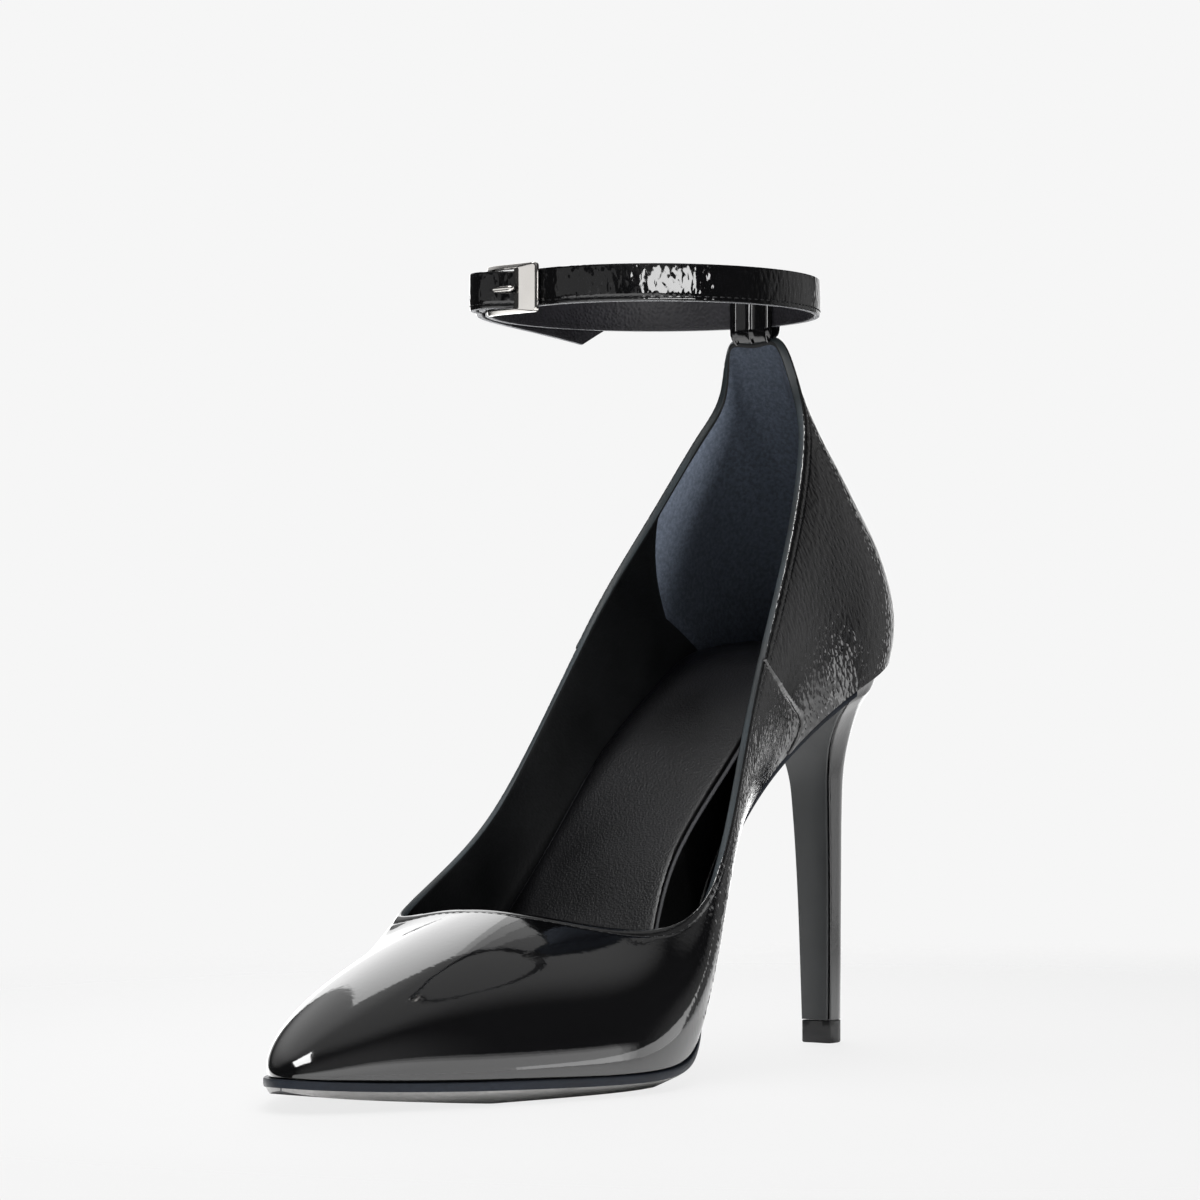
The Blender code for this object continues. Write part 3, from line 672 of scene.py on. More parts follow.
@dataclass
class Upper:
    """The lasted upper: lacquer outside, bound top edge, lining, and the suede grip at the heel."""

    last: Last
    wall: float = 1.9
    band: float = 6.0               # below the top edge, where rows follow the edge
    stitch_drop: float = 2.7
    stitch_step: float = 2.1
    stitch_points: int = 1600
    trough: float = 0.12            # depth of the sewn line
    trough_width: float = 0.42
    puff: float = 0.08              # height of the roll between the sewn line and the edge
    puff_drop: float = 1.5
    puff_width: float = 0.8
    wave: float = 0.06              # height of the slow waves where the leather is crushed
    square: float = 0.55            # how square the top edge is cut, where 1 is round
    low_rows: int = 64
    edge_rows: int = 9
    inside_rows: int = 30
    seam_steps: int = 8
    rounds: int = 2                 # of fitting the height of a row to its place along the ring
    front_columns: int = 150
    back_columns: int = 84
    grip_depth: float = 0.55
    grip_sink: float = 0.15         # how far the grip's glued back lies in the lining
    grip_foot: float = 0.03         # share of the rib's height where the grip starts
    grip_reach: float = 0.962       # share of it that the grip covers from there
    grip_columns: int = 120
    grip_rows: int = 60

    BAND_DROPS = (5.2, 4.5, 3.9, 3.5, 3.2, 2.95, 2.7, 2.45, 2.2, 1.9, 1.5, 1.2)
    # The counter's front edge: share of the rib's height, and rib number
    SEAM_LINE = (
        (0.0, 8.10), (0.06, 8.25), (0.14, 8.26), (0.29, 8.10), (0.52, 7.83), (0.78, 7.57), (1.0, 7.38),
    )
    # Across that seam: distance behind it, and height over the front of the upper
    SEAM_ACROSS = (
        (-1.1, 0.0), (-0.5, 0.01), (-0.22, -0.02), (-0.06, -0.2), (0.06, -0.2), (0.14, 0.1), (0.34, 0.36),
        (0.7, 0.46), (1.2, 0.48), (1.9, 0.44), (2.6, 0.4), (3.4, 0.4),
    )
    GRIP_FRONT = ((0.0, 9.2), (0.5, 8.7), (1.0, 8.9))   # front edge of the grip: height and rib number
    GRIP_PARING = (30, 16, 60)              # how steeply the grip's sides, foot and top are pared
    EDGE_PAINTED = (0.35, 0.70)             # shares of the way over the top edge that bound its paint
    STITCH = (0.62, 0.17, 0.11)             # half length, half width and half height of a stitch
    # The slow waves of the crushed leather: the way across them along the shoe and up, then lengths for a
    # radian with the bend of one by the other
    WAVE_WAY = (0.83, 0.56)
    WAVE_ACROSS = 2.9
    WAVE_SWAY = 9.5
    WAVE_BEND = 1.7
    WAVE_OUT = 7.0
    WAVE_ALONG = 13.0
    WAVE_RIPPLE = 8.0
    WAVE_TURN = 1.1
    # Where they start and where they are full: along the shoe, below the top edge, and up the rib
    WAVE_FRONT = (138.0, 92.0)
    WAVE_TOP = (3.5, 8.0)
    WAVE_FOOT = (0.02, 0.12)

    def row_table(self) -> Array:
        """Rows up the outside, over the edge and down the inside.

        Returns:
            For each row the share of the rib, the drop below the top edge, and the turn over the edge.
        """
        low = [(share, self.band, 0.0) for share in np.linspace(0, 1, self.low_rows)]
        band = [(1.0, drop, 0.0) for drop in self.BAND_DROPS]
        over = [(1.0, self.wall / 2, turn) for turn in np.linspace(0, math.pi, self.edge_rows)]
        inside = [(share, self.wall / 2, math.pi) for share in np.linspace(1, 0, self.inside_rows)[1:]]
        return np.array(low + band + over + inside + low[:1])

    def column_table(self) -> Array:
        """Columns from the toe to the back.

        Returns:
            For each column the share of the way to the seam, the distance behind the seam, and the share of
            the way from there to the back.
        """
        near = [d for d, _ in self.SEAM_ACROSS]
        front = [(share, near[0], 0.0) for share in np.linspace(0, 1, self.front_columns)[:-1]]
        seam = [(1.0, d, 0.0) for d in near]
        back = [(1.0, near[-1], share) for share in np.linspace(0, 1, self.back_columns)[1:]]
        return np.array(front + seam + back)

    def seam_place(self, heights: Array) -> Array:
        """Places of the counter's front edge at shares of the rib's height."""
        line = smooth_rows(self.SEAM_LINE, self.seam_steps)
        return self.last.place(np.interp(heights, line[:, 0], line[:, 1]))

    def seam_scale(self, heights: Array) -> Array:
        """Measures the ring across the counter's front edge.

        Args:
            heights: shares of the rib's height.

        Returns:
            The length of ring for a millimetre, at each height.
        """
        seam = self.seam_place(heights)
        step = 0.05
        chord = self.last.surface(seam + step, heights) - self.last.surface(seam - step, heights)
        return 2 * step / np.linalg.norm(chord, axis=1)

    def relief(self, places: Array, heights: Array, points: Array) -> Array:
        """How far the lacquer stands out from the last's smooth surface.

        Args:
            places: places along the ring.
            heights: for each place, the share of the way up its rib.
            points: the smooth surface there.

        Returns:
            A distance for each place.
        """
        from_toe = np.minimum(places, self.last.turn - places)
        behind = (from_toe - self.seam_place(heights)) / self.seam_scale(heights)
        raised = np.interp(behind, *np.array(self.SEAM_ACROSS).T)
        drop = (1 - heights) * self.last.edge_slope(places)
        roll = self.puff * hump(drop, self.puff_drop, self.puff_width)
        sewn = roll - self.trough * hump(drop, self.stitch_drop, self.trough_width)
        x, y, z = points.T
        forward, upward = self.WAVE_WAY
        climb = forward * x + upward * z
        run = forward * z - upward * x
        bent = self.WAVE_BEND * np.sin(run / self.WAVE_SWAY)
        turned = self.WAVE_TURN * np.sin(climb / self.WAVE_RIPPLE)
        slow = np.sin(climb / self.WAVE_ACROSS + bent + y / self.WAVE_OUT)
        slow = slow * np.sin(run / self.WAVE_ALONG + turned)
        crushed = self.wave * slow * smooth_step(x, *self.WAVE_FRONT) * smooth_step(drop, *self.WAVE_TOP)
        return raised + sewn + crushed * smooth_step(heights, *self.WAVE_FOOT)

    def shape(self, u: Array, v: Array) -> Array:
        """Lays out the whole wall.

        Args:
            u: the way round the ring, from the toe by the outer side.
            v: the way round the wall's section, from the sole up the outside.

        Returns:
            A point for each pair.
        """
        half = self.column_table()
        columns = np.concatenate([half, half[-2::-1]])
        rows = self.row_table()
        column = nearest(u, columns)
        share, drop, turn = rows[nearest(v, rows)].T
        ahead, off, behind = columns[column].T
        outer_side = column < len(half)
        heights = share.copy()
        for _ in range(self.rounds):
            near = self.seam_place(heights) + off * self.seam_scale(heights)
            from_toe = ahead * near + behind * (self.last.half_turn - near)
            places = np.where(outer_side, from_toe, self.last.turn - from_toe)
            heights = share * (1 - drop / self.last.edge_slope(places))
        points = self.last.surface(places, heights)
        outward, upward = self.last.directions(places, heights)
        out = self.relief(places, heights, points)[:, None]
        sideways = (np.sign(np.cos(turn)) * np.abs(np.cos(turn)) ** self.square)[:, None]
        upwards = (np.abs(np.sin(turn)) ** self.square)[:, None]
        middle = points + (out - self.wall) / 2 * outward
        thick = (out + self.wall) / 2
        return middle + thick * sideways * outward + self.wall / 2 * upwards * upward

    def zones(self, u: Array, v: Array) -> Array:
        """Gives the wall its finishes.

        Args:
            u: the way round the ring.
            v: the way round the wall's section, from the sole up the outside.

        Returns:
            0 for lacquer outside and over the edge, then 1 for edge paint, then 2 for lining.
        """
        over = v * (len(self.row_table()) - 1) - self.low_rows - len(self.BAND_DROPS)
        start, end = self.EDGE_PAINTED
        return np.where(over < start * self.edge_rows, 0, np.where(over < end * self.edge_rows, 1, 2))

    def grip_shape(self, u: Array, v: Array) -> Array:
        """Lays out the suede grip.

        Args:
            u: the way round the heel, from its outer front edge.
            v: the way up its face by the first half, and down its glued back by the second.

        Returns:
            A point for each pair.
        """
        height = np.where(v < 0.5, 2 * v, 2 - 2 * v)
        front = self.last.place(np.interp(height, *np.array(self.GRIP_FRONT).T))
        places = front + u * (self.last.turn - 2 * front)
        heights = self.grip_foot + self.grip_reach * height
        sides, foot, top = self.GRIP_PARING
        rim = np.minimum(np.minimum(u, 1 - u) * sides, np.minimum(height * foot, (1 - height) * top))
        face = np.where(v < 0.5, self.grip_depth * smooth_step(rim, 0, 1), 0.0)
        points = self.last.surface(places, heights)
        outward, _ = self.last.directions(places, heights)
        return points - (self.wall - self.grip_sink + face[:, None]) * outward

    def stitch_run(self) -> tuple[Array, Array]:
        """The line of stitches below the top edge.

        Returns:
            Points along it, and the outward directions there.
        """
        places = np.linspace(0, self.last.turn, self.stitch_points)
        heights = 1 - self.stitch_drop / self.last.edge_slope(places)
        points = self.last.surface(places, heights)
        outward, _ = self.last.directions(places, heights)
        return points + self.relief(places, heights, points)[:, None] * outward, outward

    def build(self) -> None:
        """Builds the wall, the grip and the top edge's stitches."""
        columns = 2 * (len(self.column_table()) - 1)
        rows = len(self.row_table()) - 1
        wall = shaped_grid(columns, rows, self.shape, self.zones)
        add_piece("patent_upper", wall, (PATENT, EDGE_PAINT, LINING), ("upper",))
        grip = shaped_grid(self.grip_columns, 2 * self.grip_rows, self.grip_shape)
        add_piece("suede_grip", grip, (SUEDE,))
        add_stitches("topline_stitches", [self.stitch_run()], self.stitch_step, self.STITCH)


def section_zones(half: Sequence[int]) -> Zones:
    """Gives the faces of a section that is the same on both sides their finishes.

    Args:
        half: the number of the finish after each point of one half.

    Returns:
        The zones of a grid that runs round the section by its second parameter.
    """
    finishes = np.array([*half[:-1], *half[-2::-1]])
    return lambda u, v: finishes[np.clip((v * len(finishes)).astype(int), 0, len(finishes) - 1)]


def both_sides(half: Sequence, v: Array) -> tuple[Array, Array]:
    """Reads a section that is the same on both sides.

    Args:
        half: rows of one half, with the finish as the last column.
        v: shares of the way round the whole section.

    Returns:
        1 on the outer side or -1 on the inner one, and the other columns of the rows there.
    """
    rows = np.array(half)[:, :-1]
    whole = np.concatenate([rows, rows[-2::-1]])
    corner = nearest(v, whole)
    return np.where(corner < len(rows), 1.0, -1.0), whole[corner].T


class SoleRow(NamedTuple):
    """The outsole at a rib number: its thickness and how far its edge stands out from the upper."""

    rib: float
    thickness: float
    reach: float


@dataclass
class Bottom:
    """The outsole under the upper and the padded sock inside it."""

    last: Last
    glue: float = GLUE
    edge: float = 1.75               # height of the outsole's upright edge
    front: float = 0.02              # rib numbers where the outsole starts and ends
    back: float = 9.29
    narrow: float = 3.0              # half width below which the edge's roundings shrink
    rungs: int = 150
    sock_front: float = 1.3
    sock_back: float = 12.4
    sock_clear: float = 2.6          # from the feather line in to the sock's board
    sock_lift: float = 0.35
    sock_round: float = 0.985        # share of the length where the sock's round back end starts
    sock_blunt: float = 0.8
    crown: float = 0.5               # how much lower the sock's edges lie than its middle
    crown_power: int = 4
    footbed_steps: int = 6

    SOLE_ROWS = (
        SoleRow(0.0, 2.3, 1.1), SoleRow(2.0, 4.2, 1.1), SoleRow(3.0, 5.6, 1.1), SoleRow(4.0, 5.6, 1.1),
        SoleRow(5.0, 4.4, 0.2), SoleRow(6.0, 3.4, -0.6), SoleRow(9.3, 3.0, -0.6),
    )
    # Half of the outsole's section: share of the half width, inset from there, share of the edge's height
    # below the top, share of the rest of the thickness; and the finish below each point
    SOLE_SECTION = (
        (0.0, 0.0, 0.0, 0.0, 0), (1.0, 0.5, 0.0, 0.0, 0), (1.0, 0.12, 0.06, 0.0, 0),
        (1.0, 0.0, 0.22, 0.0, 0), (1.0, 0.0, 0.80, 0.0, 0), (1.0, 0.14, 1.0, 0.04, 1),
        (0.985, 0.5, 1.0, 0.2, 1), (0.82, 0.0, 1.0, 0.95, 1), (0.78, 0.0, 1.0, 1.0, 2),
        (0.0, 0.0, 1.0, 1.0, 2),
    )
    # The footbed: rib number, rise above the feather line, and how far its outer and inner edges stand out
    # beyond the sock's narrow underside
    FOOTBED_ROWS = (
        (1.3, 2.4, 0, 0), (2.0, 2.4, 0, 0), (3.0, 2.7, -1.0, 0), (4.0, 5.1, -3.6, -0.5),
        (5.0, 14.0, -8.4, 0), (6.0, 20.0, -5.4, 4.4), (7.0, 27.5, 6.0, 9.4), (8.0, 24.0, 6.8, 7.2),
        (9.0, 13.6, 1.2, 1.4), (10.0, 8.6, 0.6, 0.6), (11.0, 4.6, 0.1, 0.1), (12.4, 3.2, 0, 0),
    )
    # Half of the sock's section: 0 on the underside or 1 at the footbed, share of the half width there,
    # inset from it, drop below the footbed; and the finish after it
    SOCK_SECTION = (
        (0, 0.0, 0.0, 0.0, 1), (0, 1.0, 0.0, 0.0, 1), (1, 1.0, 0.0, 1.5, 2), (1, 1.0, 0.12, 1.32, 2),
        (1, 1.0, 1.05, 1.28, 1), (1, 1.0, 1.12, 1.15, 1), (1, 1.0, 1.10, 0.45, 1), (1, 1.0, 1.22, 0.2, 1),
        (1, 1.0, 1.55, 0.05, 0), (1, 1.0, 2.3, 0.0, 0), (1, 0.8, 0.0, 0.0, 0), (1, 0.6, 0.0, 0.0, 0),
        (1, 0.4, 0.0, 0.0, 0), (1, 0.2, 0.0, 0.0, 0), (1, 0.0, 0.0, 0.0, 0),
    )

    def rails(self, places: Array, outer_reach: Array, inner_reach: Array) -> tuple[Array, Array, Array]:
        """Reads lines across the sole.

        Args:
            places: places along the outer half of the ring.
            outer_reach: how far their outer ends stand out from the feather line.
            inner_reach: the same for their inner ends.

        Returns:
            Their middles, the unit directions to the outer side, and half their lengths.
        """
        outer = self.last.feather(places, outer_reach)
        inner = self.last.feather(self.last.turn - places, inner_reach)
        half = (outer - inner) / 2
        length = np.linalg.norm(half, axis=1)
        return (outer + inner) / 2, half / length[:, None], length

    def sole_shape(self, u: Array, v: Array) -> Array:
        """Lays out the outsole.

        Args:
            u: the way along it, from the toe.
            v: the way round its section, from the middle of its top.

        Returns:
            A point for each pair.
        """
        side, (share, inset, edge, under) = both_sides(self.SOLE_SECTION, v)
        start, end = self.last.place(self.front), self.last.place(self.back)
        places = start + u * (end - start)
        ribs, thickness, reach = np.array(self.SOLE_ROWS).T
        numbers = self.last.rib_number(places)
        reach = np.interp(numbers, ribs, reach)
        middle, outward, length = self.rails(places, reach, reach)
        across = side * (share * length - inset * np.minimum(1, length / self.narrow))
        points = middle + across[:, None] * outward
        top = points[:, 2] - self.glue
        low = np.maximum(0.0, middle[:, 2] - self.glue - np.interp(numbers, ribs, thickness))
        edge_foot = np.maximum(top - self.edge * edge, low)
        points[:, 2] = edge_foot + (low - edge_foot) * under
        return points

    def sock_shape(self, u: Array, v: Array) -> Array:
        """Lays out the sock with the board below it.

        Args:
            u: the way along it, from the toe.
            v: the way round its section, from the middle of its underside.

        Returns:
            A point for each pair.
        """
        side, (level, share, inset, drop) = both_sides(self.SOCK_SECTION, v)
        start, end = self.last.place(self.sock_front), self.last.place(self.sock_back)
        places = start + u * (end - start)
        footbed = smooth_rows(self.FOOTBED_ROWS, self.footbed_steps).T
        numbers = self.last.rib_number(places)
        rise, outer, inner = [np.interp(numbers, footbed[0], row) for row in footbed[1:]]
        middle, outward, length = self.rails(
            places, level * outer - self.sock_clear, level * inner - self.sock_clear
        )
        length = length * np.sqrt(1 - smooth_step(u, self.sock_round, 1.0) ** 2 * self.sock_blunt)
        across = side * np.maximum(share * length - inset, 0.0)
        points = middle + across[:, None] * outward
        sag = self.crown * (across / length) ** self.crown_power
        points[:, 2] += np.where(level > 0, rise - drop - sag, self.sock_lift)
        return points

    def build(self) -> None:
        """Builds the outsole and the padded sock."""
        sole_zones = section_zones([row[-1] for row in self.SOLE_SECTION])
        sole = shaped_grid(self.rungs, 2 * len(self.SOLE_SECTION) - 2, self.sole_shape, sole_zones)
        close_ends(sole)
        # The bevel's finish is painted pale grey as a painted reflection of the floor's light
        add_piece("waxed_outsole", sole, (SOLE_EDGE, SOLE_BEVEL_PAINTED_REFLECTION, SOLE_FACE), ("outsole",))
        sock_zones = section_zones([row[-1] for row in self.SOCK_SECTION])
        sock = shaped_grid(self.rungs, 2 * len(self.SOCK_SECTION) - 2, self.sock_shape, sock_zones)
        close_ends(sock)
        piece = add_piece("padded_sock", sock, (SOCK, SOCK_EDGE, BOARD), ("insole",))


class HeelRow(NamedTuple):
    """One cross section of the heel: a flat breast, straight sides and a half ellipse behind them."""

    breast_x: float
    breast_z: float
    breast_half: float
    widest_x: float
    half_width: float
    back_x: float
    back_z: float


HEEL_START = 5.9
HEEL_ROWS = (
    HeelRow(4.3, HEEL_START, 4.25, 1.0, 4.25, -3.6, HEEL_START),
    HeelRow(5.1, 36.0, 4.9, 1.6, 4.95, -3.4, 36.0),
    HeelRow(6.4, 57.0, 5.5, 2.4, 5.6, -3.1, 57.0),
    HeelRow(7.6, 67.5, 6.2, 3.0, 6.4, -3.3, 68.5),
    HeelRow(9.8, 75.0, 8.4, 4.4, 8.8, -3.7, 77.5),
    HeelRow(13.2, 80.8, 12.6, 7.4, 13.0, -4.4, 86.5),
    HeelRow(16.4, 84.6, 17.0, 10.0, 17.6, -6.6, 93.2),
)


@dataclass
class Heel:
    """The covered heel block, the strip on its breast and the wearing tip."""

    last: Last
    side_steps: int = 8
    arc_steps: int = 20
    breast_steps: int = 8
    row_steps: int = 10
    seat_steps: int = 6
    seat_rib: float = 9.3
    seat_inset: float = 1.6
    seat_gap: float = 0.5
    corner: float = 0.45            # rounding of the cover at the breast's edges
    glue: float = GLUE
    strip: float = 0.7
    strip_rim: float = 0.55
    tip_height: float = 5.6
    tip_round: float = 0.35
    tip_joint: float = 0.15         # the small bevel where the tip meets the block

    BREAST_FLAT = 0.93              # share of the breast that its flat points cover
    CORNER_SHARE = 0.35             # share of the rounding to each of a corner's two points
    CORNER_INSET = (0.04, 0.02)     # how far they lie inside the breast and the side
    SIDE_START = 0.1                # share of the side where its own points start
    # The strip's section: share of its thickness, and share of its half width
    STRIP_SECTION = (
        (0.0, 1.0), (0.55, 1.0), (0.9, 0.985), (1.0, 0.95), (1.0, 0.0), (1.0, -0.95), (0.9, -0.985),
        (0.55, -1.0), (0.0, -1.0),
    )
    TIP_MIDDLE = (0.4, 0.0)
    # The chip at one corner of the tip
    CHIP_PLACE = (4.2, 4.1)
    CHIP_DEPTH = 0.5
    CHIP_REACH = 0.9
    CHIP_HEIGHT = 1.2

    def outline(self, row: HeelRow) -> Array:
        """One section, from the middle of the breast round the back to the middle of the breast.

        Args:
            row: the section's sizes.

        Returns:
            Its points, as x and y.
        """
        flat = np.linspace(0, self.BREAST_FLAT, self.breast_steps)
        half = [(row.breast_x, row.breast_half * share) for share in flat]
        rounding = self.corner * self.CORNER_SHARE
        half.append((row.breast_x - self.CORNER_INSET[0], row.breast_half - rounding))
        half.append((row.breast_x - rounding, row.breast_half - self.CORNER_INSET[1]))
        for share in np.linspace(self.SIDE_START, 1, self.side_steps):
            along = row.breast_x + (row.widest_x - row.breast_x) * share
            half.append((along, row.breast_half + (row.half_width - row.breast_half) * share))
        for turn in np.linspace(0, math.pi / 2, self.arc_steps + 1)[1:]:
            back = row.widest_x - (row.widest_x - row.back_x) * math.sin(turn)
            half.append((back, row.half_width * math.cos(turn)))
        return np.array(half + [(x, -y) for x, y in reversed(half[:-1])])

    def seat(self, outline: Array) -> Array:
        """The heel's seat, under the upper's feather line.

        Args:
            outline: the section below it, whose points it takes one for one.

        Returns:
            Its points.
        """
        start = self.last.place(self.seat_rib)
        breast = self.breast_steps + 1
        count = len(outline) - 2 * breast
        curve = self.last.feather(np.linspace(start, self.last.turn - start, count), -self.seat_inset)
        middle = (curve[0] + curve[-1]) / 2
        share = (np.arange(breast) / breast)[:, None]
        first = middle + share * (curve[0] - middle)
        second = middle + share[::-1] * (curve[-1] - middle)
        return np.concatenate([first, curve, second]) - np.array([0, 0, self.seat_gap])

    def sections(self) -> list[Array]:
        """Stacks the block's sections.

        Returns:
            Their points, from the tip up to the seat.
        """
        found = []
        for values in smooth_rows(HEEL_ROWS, self.row_steps):
            row = HeelRow(*values)
            outline = self.outline(row)
            slope = (row.back_z - row.breast_z) / (row.back_x - row.breast_x)
            found.append(np.column_stack([outline, row.breast_z + slope * (outline[:, 0] - row.breast_x)]))
        seat = self.seat(found[-1])
        top = found[-1]
        for share in np.linspace(0, 1, self.seat_steps + 1)[1:]:
            found.append(top + share * (seat - top))
        return found

    def build_block(self) -> None:
        """Builds the covered block."""
        sections = np.array(self.sections())

        def shape(u: Array, v: Array) -> Array:
            """Points round the sections by u and up them by v."""
            return sections[nearest(v, sections), nearest(u, sections[0])]

        block = shaped_grid(len(sections[0]) - 1, len(sections) - 1, shape)
        close_ends(block)
        add_piece("covered_heel", block, (TIGHT_PATENT,), ("heel",))

    def build_strip(self) -> None:
        """Builds the satin strip on the breast, with rounded long edges."""
        rows = [HeelRow(*values) for values in smooth_rows(HEEL_ROWS, self.row_steps)]
        section = np.array(self.STRIP_SECTION)

        def shape(u: Array, v: Array) -> Array:
            """Lays out the strip.

            Args:
                u: the way up it.
                v: the way over its section.

            Returns:
                A point for each pair.
            """
            row = [rows[i] for i in nearest(u, rows)]
            depth, share = section[nearest(v, section)].T
            near = np.array([r.breast_x for r in row]) + self.glue
            half = np.array([r.breast_half for r in row]) - self.strip_rim
            return np.column_stack([near + self.strip * depth, half * share, [r.breast_z for r in row]])

        strip = shaped_grid(len(rows) - 1, len(section) - 1, shape)
        close_ends(strip)
        add_piece("breast_strip", strip, (BREAST,), ("heel_breast",))

    def build_tip(self) -> None:
        """Builds the wearing tip, with a rounded rim and one chipped corner."""
        outline = self.outline(HEEL_ROWS[0])
        soft, joint = self.tip_round, self.tip_joint
        # Height, and inset from the outline
        levels = np.array((
            (0.0, soft), (0.1, soft * 0.4), (soft, 0.0), (2.0, 0.0), (4.0, 0.0),
            (self.tip_height - joint, 0.0), (self.tip_height, joint),
        ))

        def shape(u: Array, v: Array) -> Array:
            """Lays out the tip.

            Args:
                u: the way round its outline.
                v: the way up it.

            Returns:
                A point for each pair.
            """
            flat = outline[nearest(u, outline)]
            height, inset = levels[nearest(v, levels)].T
            inward = np.array(self.TIP_MIDDLE) - flat
            reach = np.linalg.norm(inward, axis=1)
            away = np.hypot(*(flat - np.array(self.CHIP_PLACE)).T)
            chip = self.CHIP_DEPTH * hump(away, 0, self.CHIP_REACH) * hump(height, 0, self.CHIP_HEIGHT)
            moved = flat + inward * ((inset + chip) / reach)[:, None]
            return np.column_stack([moved, height])

        tip = shaped_grid(len(outline) - 1, len(levels) - 1, shape)
        close_ends(tip)
        add_piece("wearing_tip", tip, (TIP_RUBBER,), ("top_piece",))

    def build(self) -> None:
        """Builds the block, the strip and the tip."""
        self.build_block()
        self.build_strip()
        self.build_tip()


class StrapPoint(NamedTuple):
    """A place beside the ankle ring: distance along it from the buckle's middle, and distance out."""

    along: float
    out: float


@dataclass
class Ring:
    """The ankle ring's middle line, measured along its length from the buckle's middle."""

    mid_z: float = 181.6
    sag: float = 0.025              # how much lower the ring runs for each millimetre forwards
    loop_point: int = 8

    # Plan points from the buckle's middle round the outer side to the loop, and back by the inner side
    POINTS = (
        (117.3, -10.6), (118.1, -3.6), (117.6, 6.3), (110.5, 21.2), (97.1, 31.2), (75.4, 36.0),
        (53.7, 31.2), (37.8, 18.0), (32.0, 0.0), (37.8, -18.0), (53.7, -31.4), (75.4, -36.2),
        (94.5, -32.8), (106.4, -26.2), (113.2, -20.0), (116.3, -16.2),
    )

    def __post_init__(self) -> None:
        """Measures the chords between the ring's points."""
        self.plan = np.array(self.POINTS)
        chords = np.linalg.norm(np.roll(self.plan, -1, axis=0) - self.plan, axis=1)
        self.length = chords.sum()
        self.knots = np.cumsum(chords) - chords
        self.loop_along = self.knots[self.loop_point]

    def points(self, along: Array, out: Array, lift: Array) -> tuple[Array, Array]:
        """Reads points beside the ring.

        Args:
            along: distances along the ring.
            out: distances out from it.
            lift: heights above it.

        Returns:
            The points, and the unit directions out from the ring.
        """
        step = 0.5
        place = periodic_spline(self.knots, self.plan, self.length, along)
        ahead = periodic_spline(self.knots, self.plan, self.length, along + step)
        behind = periodic_spline(self.knots, self.plan, self.length, along - step)
        way = np.column_stack([ahead[:, 1] - behind[:, 1], behind[:, 0] - ahead[:, 0]])
        way /= np.linalg.norm(way, axis=1)[:, None]
        place = place + np.reshape(out, (-1, 1)) * way
        height = self.mid_z - self.sag * (place[:, 0] - self.plan[self.loop_point, 0]) + lift
        return np.column_stack([place, height]), np.column_stack([way, np.zeros(len(way))])


@dataclass
class Strip:
    """A length of strap leather, as rows of distance along the ring, distance out, lift and half width."""

    ring: Ring
    table: Array
    crease: float = 0.075

    # The fine and the wide creases: length for a radian, then how far they sway and the length for that
    FINE = (0.52, 1.4, 4.1)
    WIDE = (1.13, 2.0, 11.0)
    FAN = (1.2, 6.7)                        # how far the fine ones lean apart, and the length for that
    FINE_SHARE = 0.35
    # Where the creases come and go: their level, by how much it swings, and two waves by length and start
    PATCH_LEVEL = 0.45
    PATCH_SWING = 0.55
    PATCH_WAVES = ((15.0, 0.9), (37.0, 2.1))

    def __post_init__(self) -> None:
        """Lays out its middle line and the directions out of its face."""
        along, out, lift, _ = self.table.T
        self.middle = self.ring.points(along, out, lift)[0]
        run = np.gradient(self.middle, axis=0)
        side = np.column_stack([run[:, 1], -run[:, 0], np.zeros(len(run))])
        self.side = side / np.linalg.norm(side, axis=1)[:, None]

    def creases(self, along: Array, across: Array) -> Array:
        """Reads the upright creases across the strip.

        Args:
            along: distances along the ring.
            across: shares of the half width.

        Returns:
            Their heights, from -1 to 1.
        """
        length, sway, sway_length = self.FINE
        lean, lean_length = self.FAN
        fan = along / length + sway * np.sin(along / sway_length)
        fan = fan + lean * across * np.sin(along / lean_length)
        length, sway, sway_length = self.WIDE
        wide = np.sin(along / length + sway * np.sin(along / sway_length) + across)
        first, second = [np.sin(along / length + start) for length, start in self.PATCH_WAVES]
        patch = self.PATCH_LEVEL + self.PATCH_SWING * first * second
        return (self.FINE_SHARE * np.sin(fan) + (1 - self.FINE_SHARE) * wide) * patch

    def skin(self, index: Array, across: Array, out: Array, face: Array | float) -> Array:
        """Reads points of the strip's surface.

        Args:
            index: rows of the middle line.
            across: share of the half width for each row.
            out: distance out from the middle line.
            face: 1 on the lacquered face and 0 elsewhere.

        Returns:
            The points.
        """
        along, half = self.table[index, 0], self.table[index, 3]
        depth = out + self.crease * face * self.creases(along, across)
        points = self.middle[index] + depth[:, None] * self.side[index]
        points[:, 2] += across * half
        return points


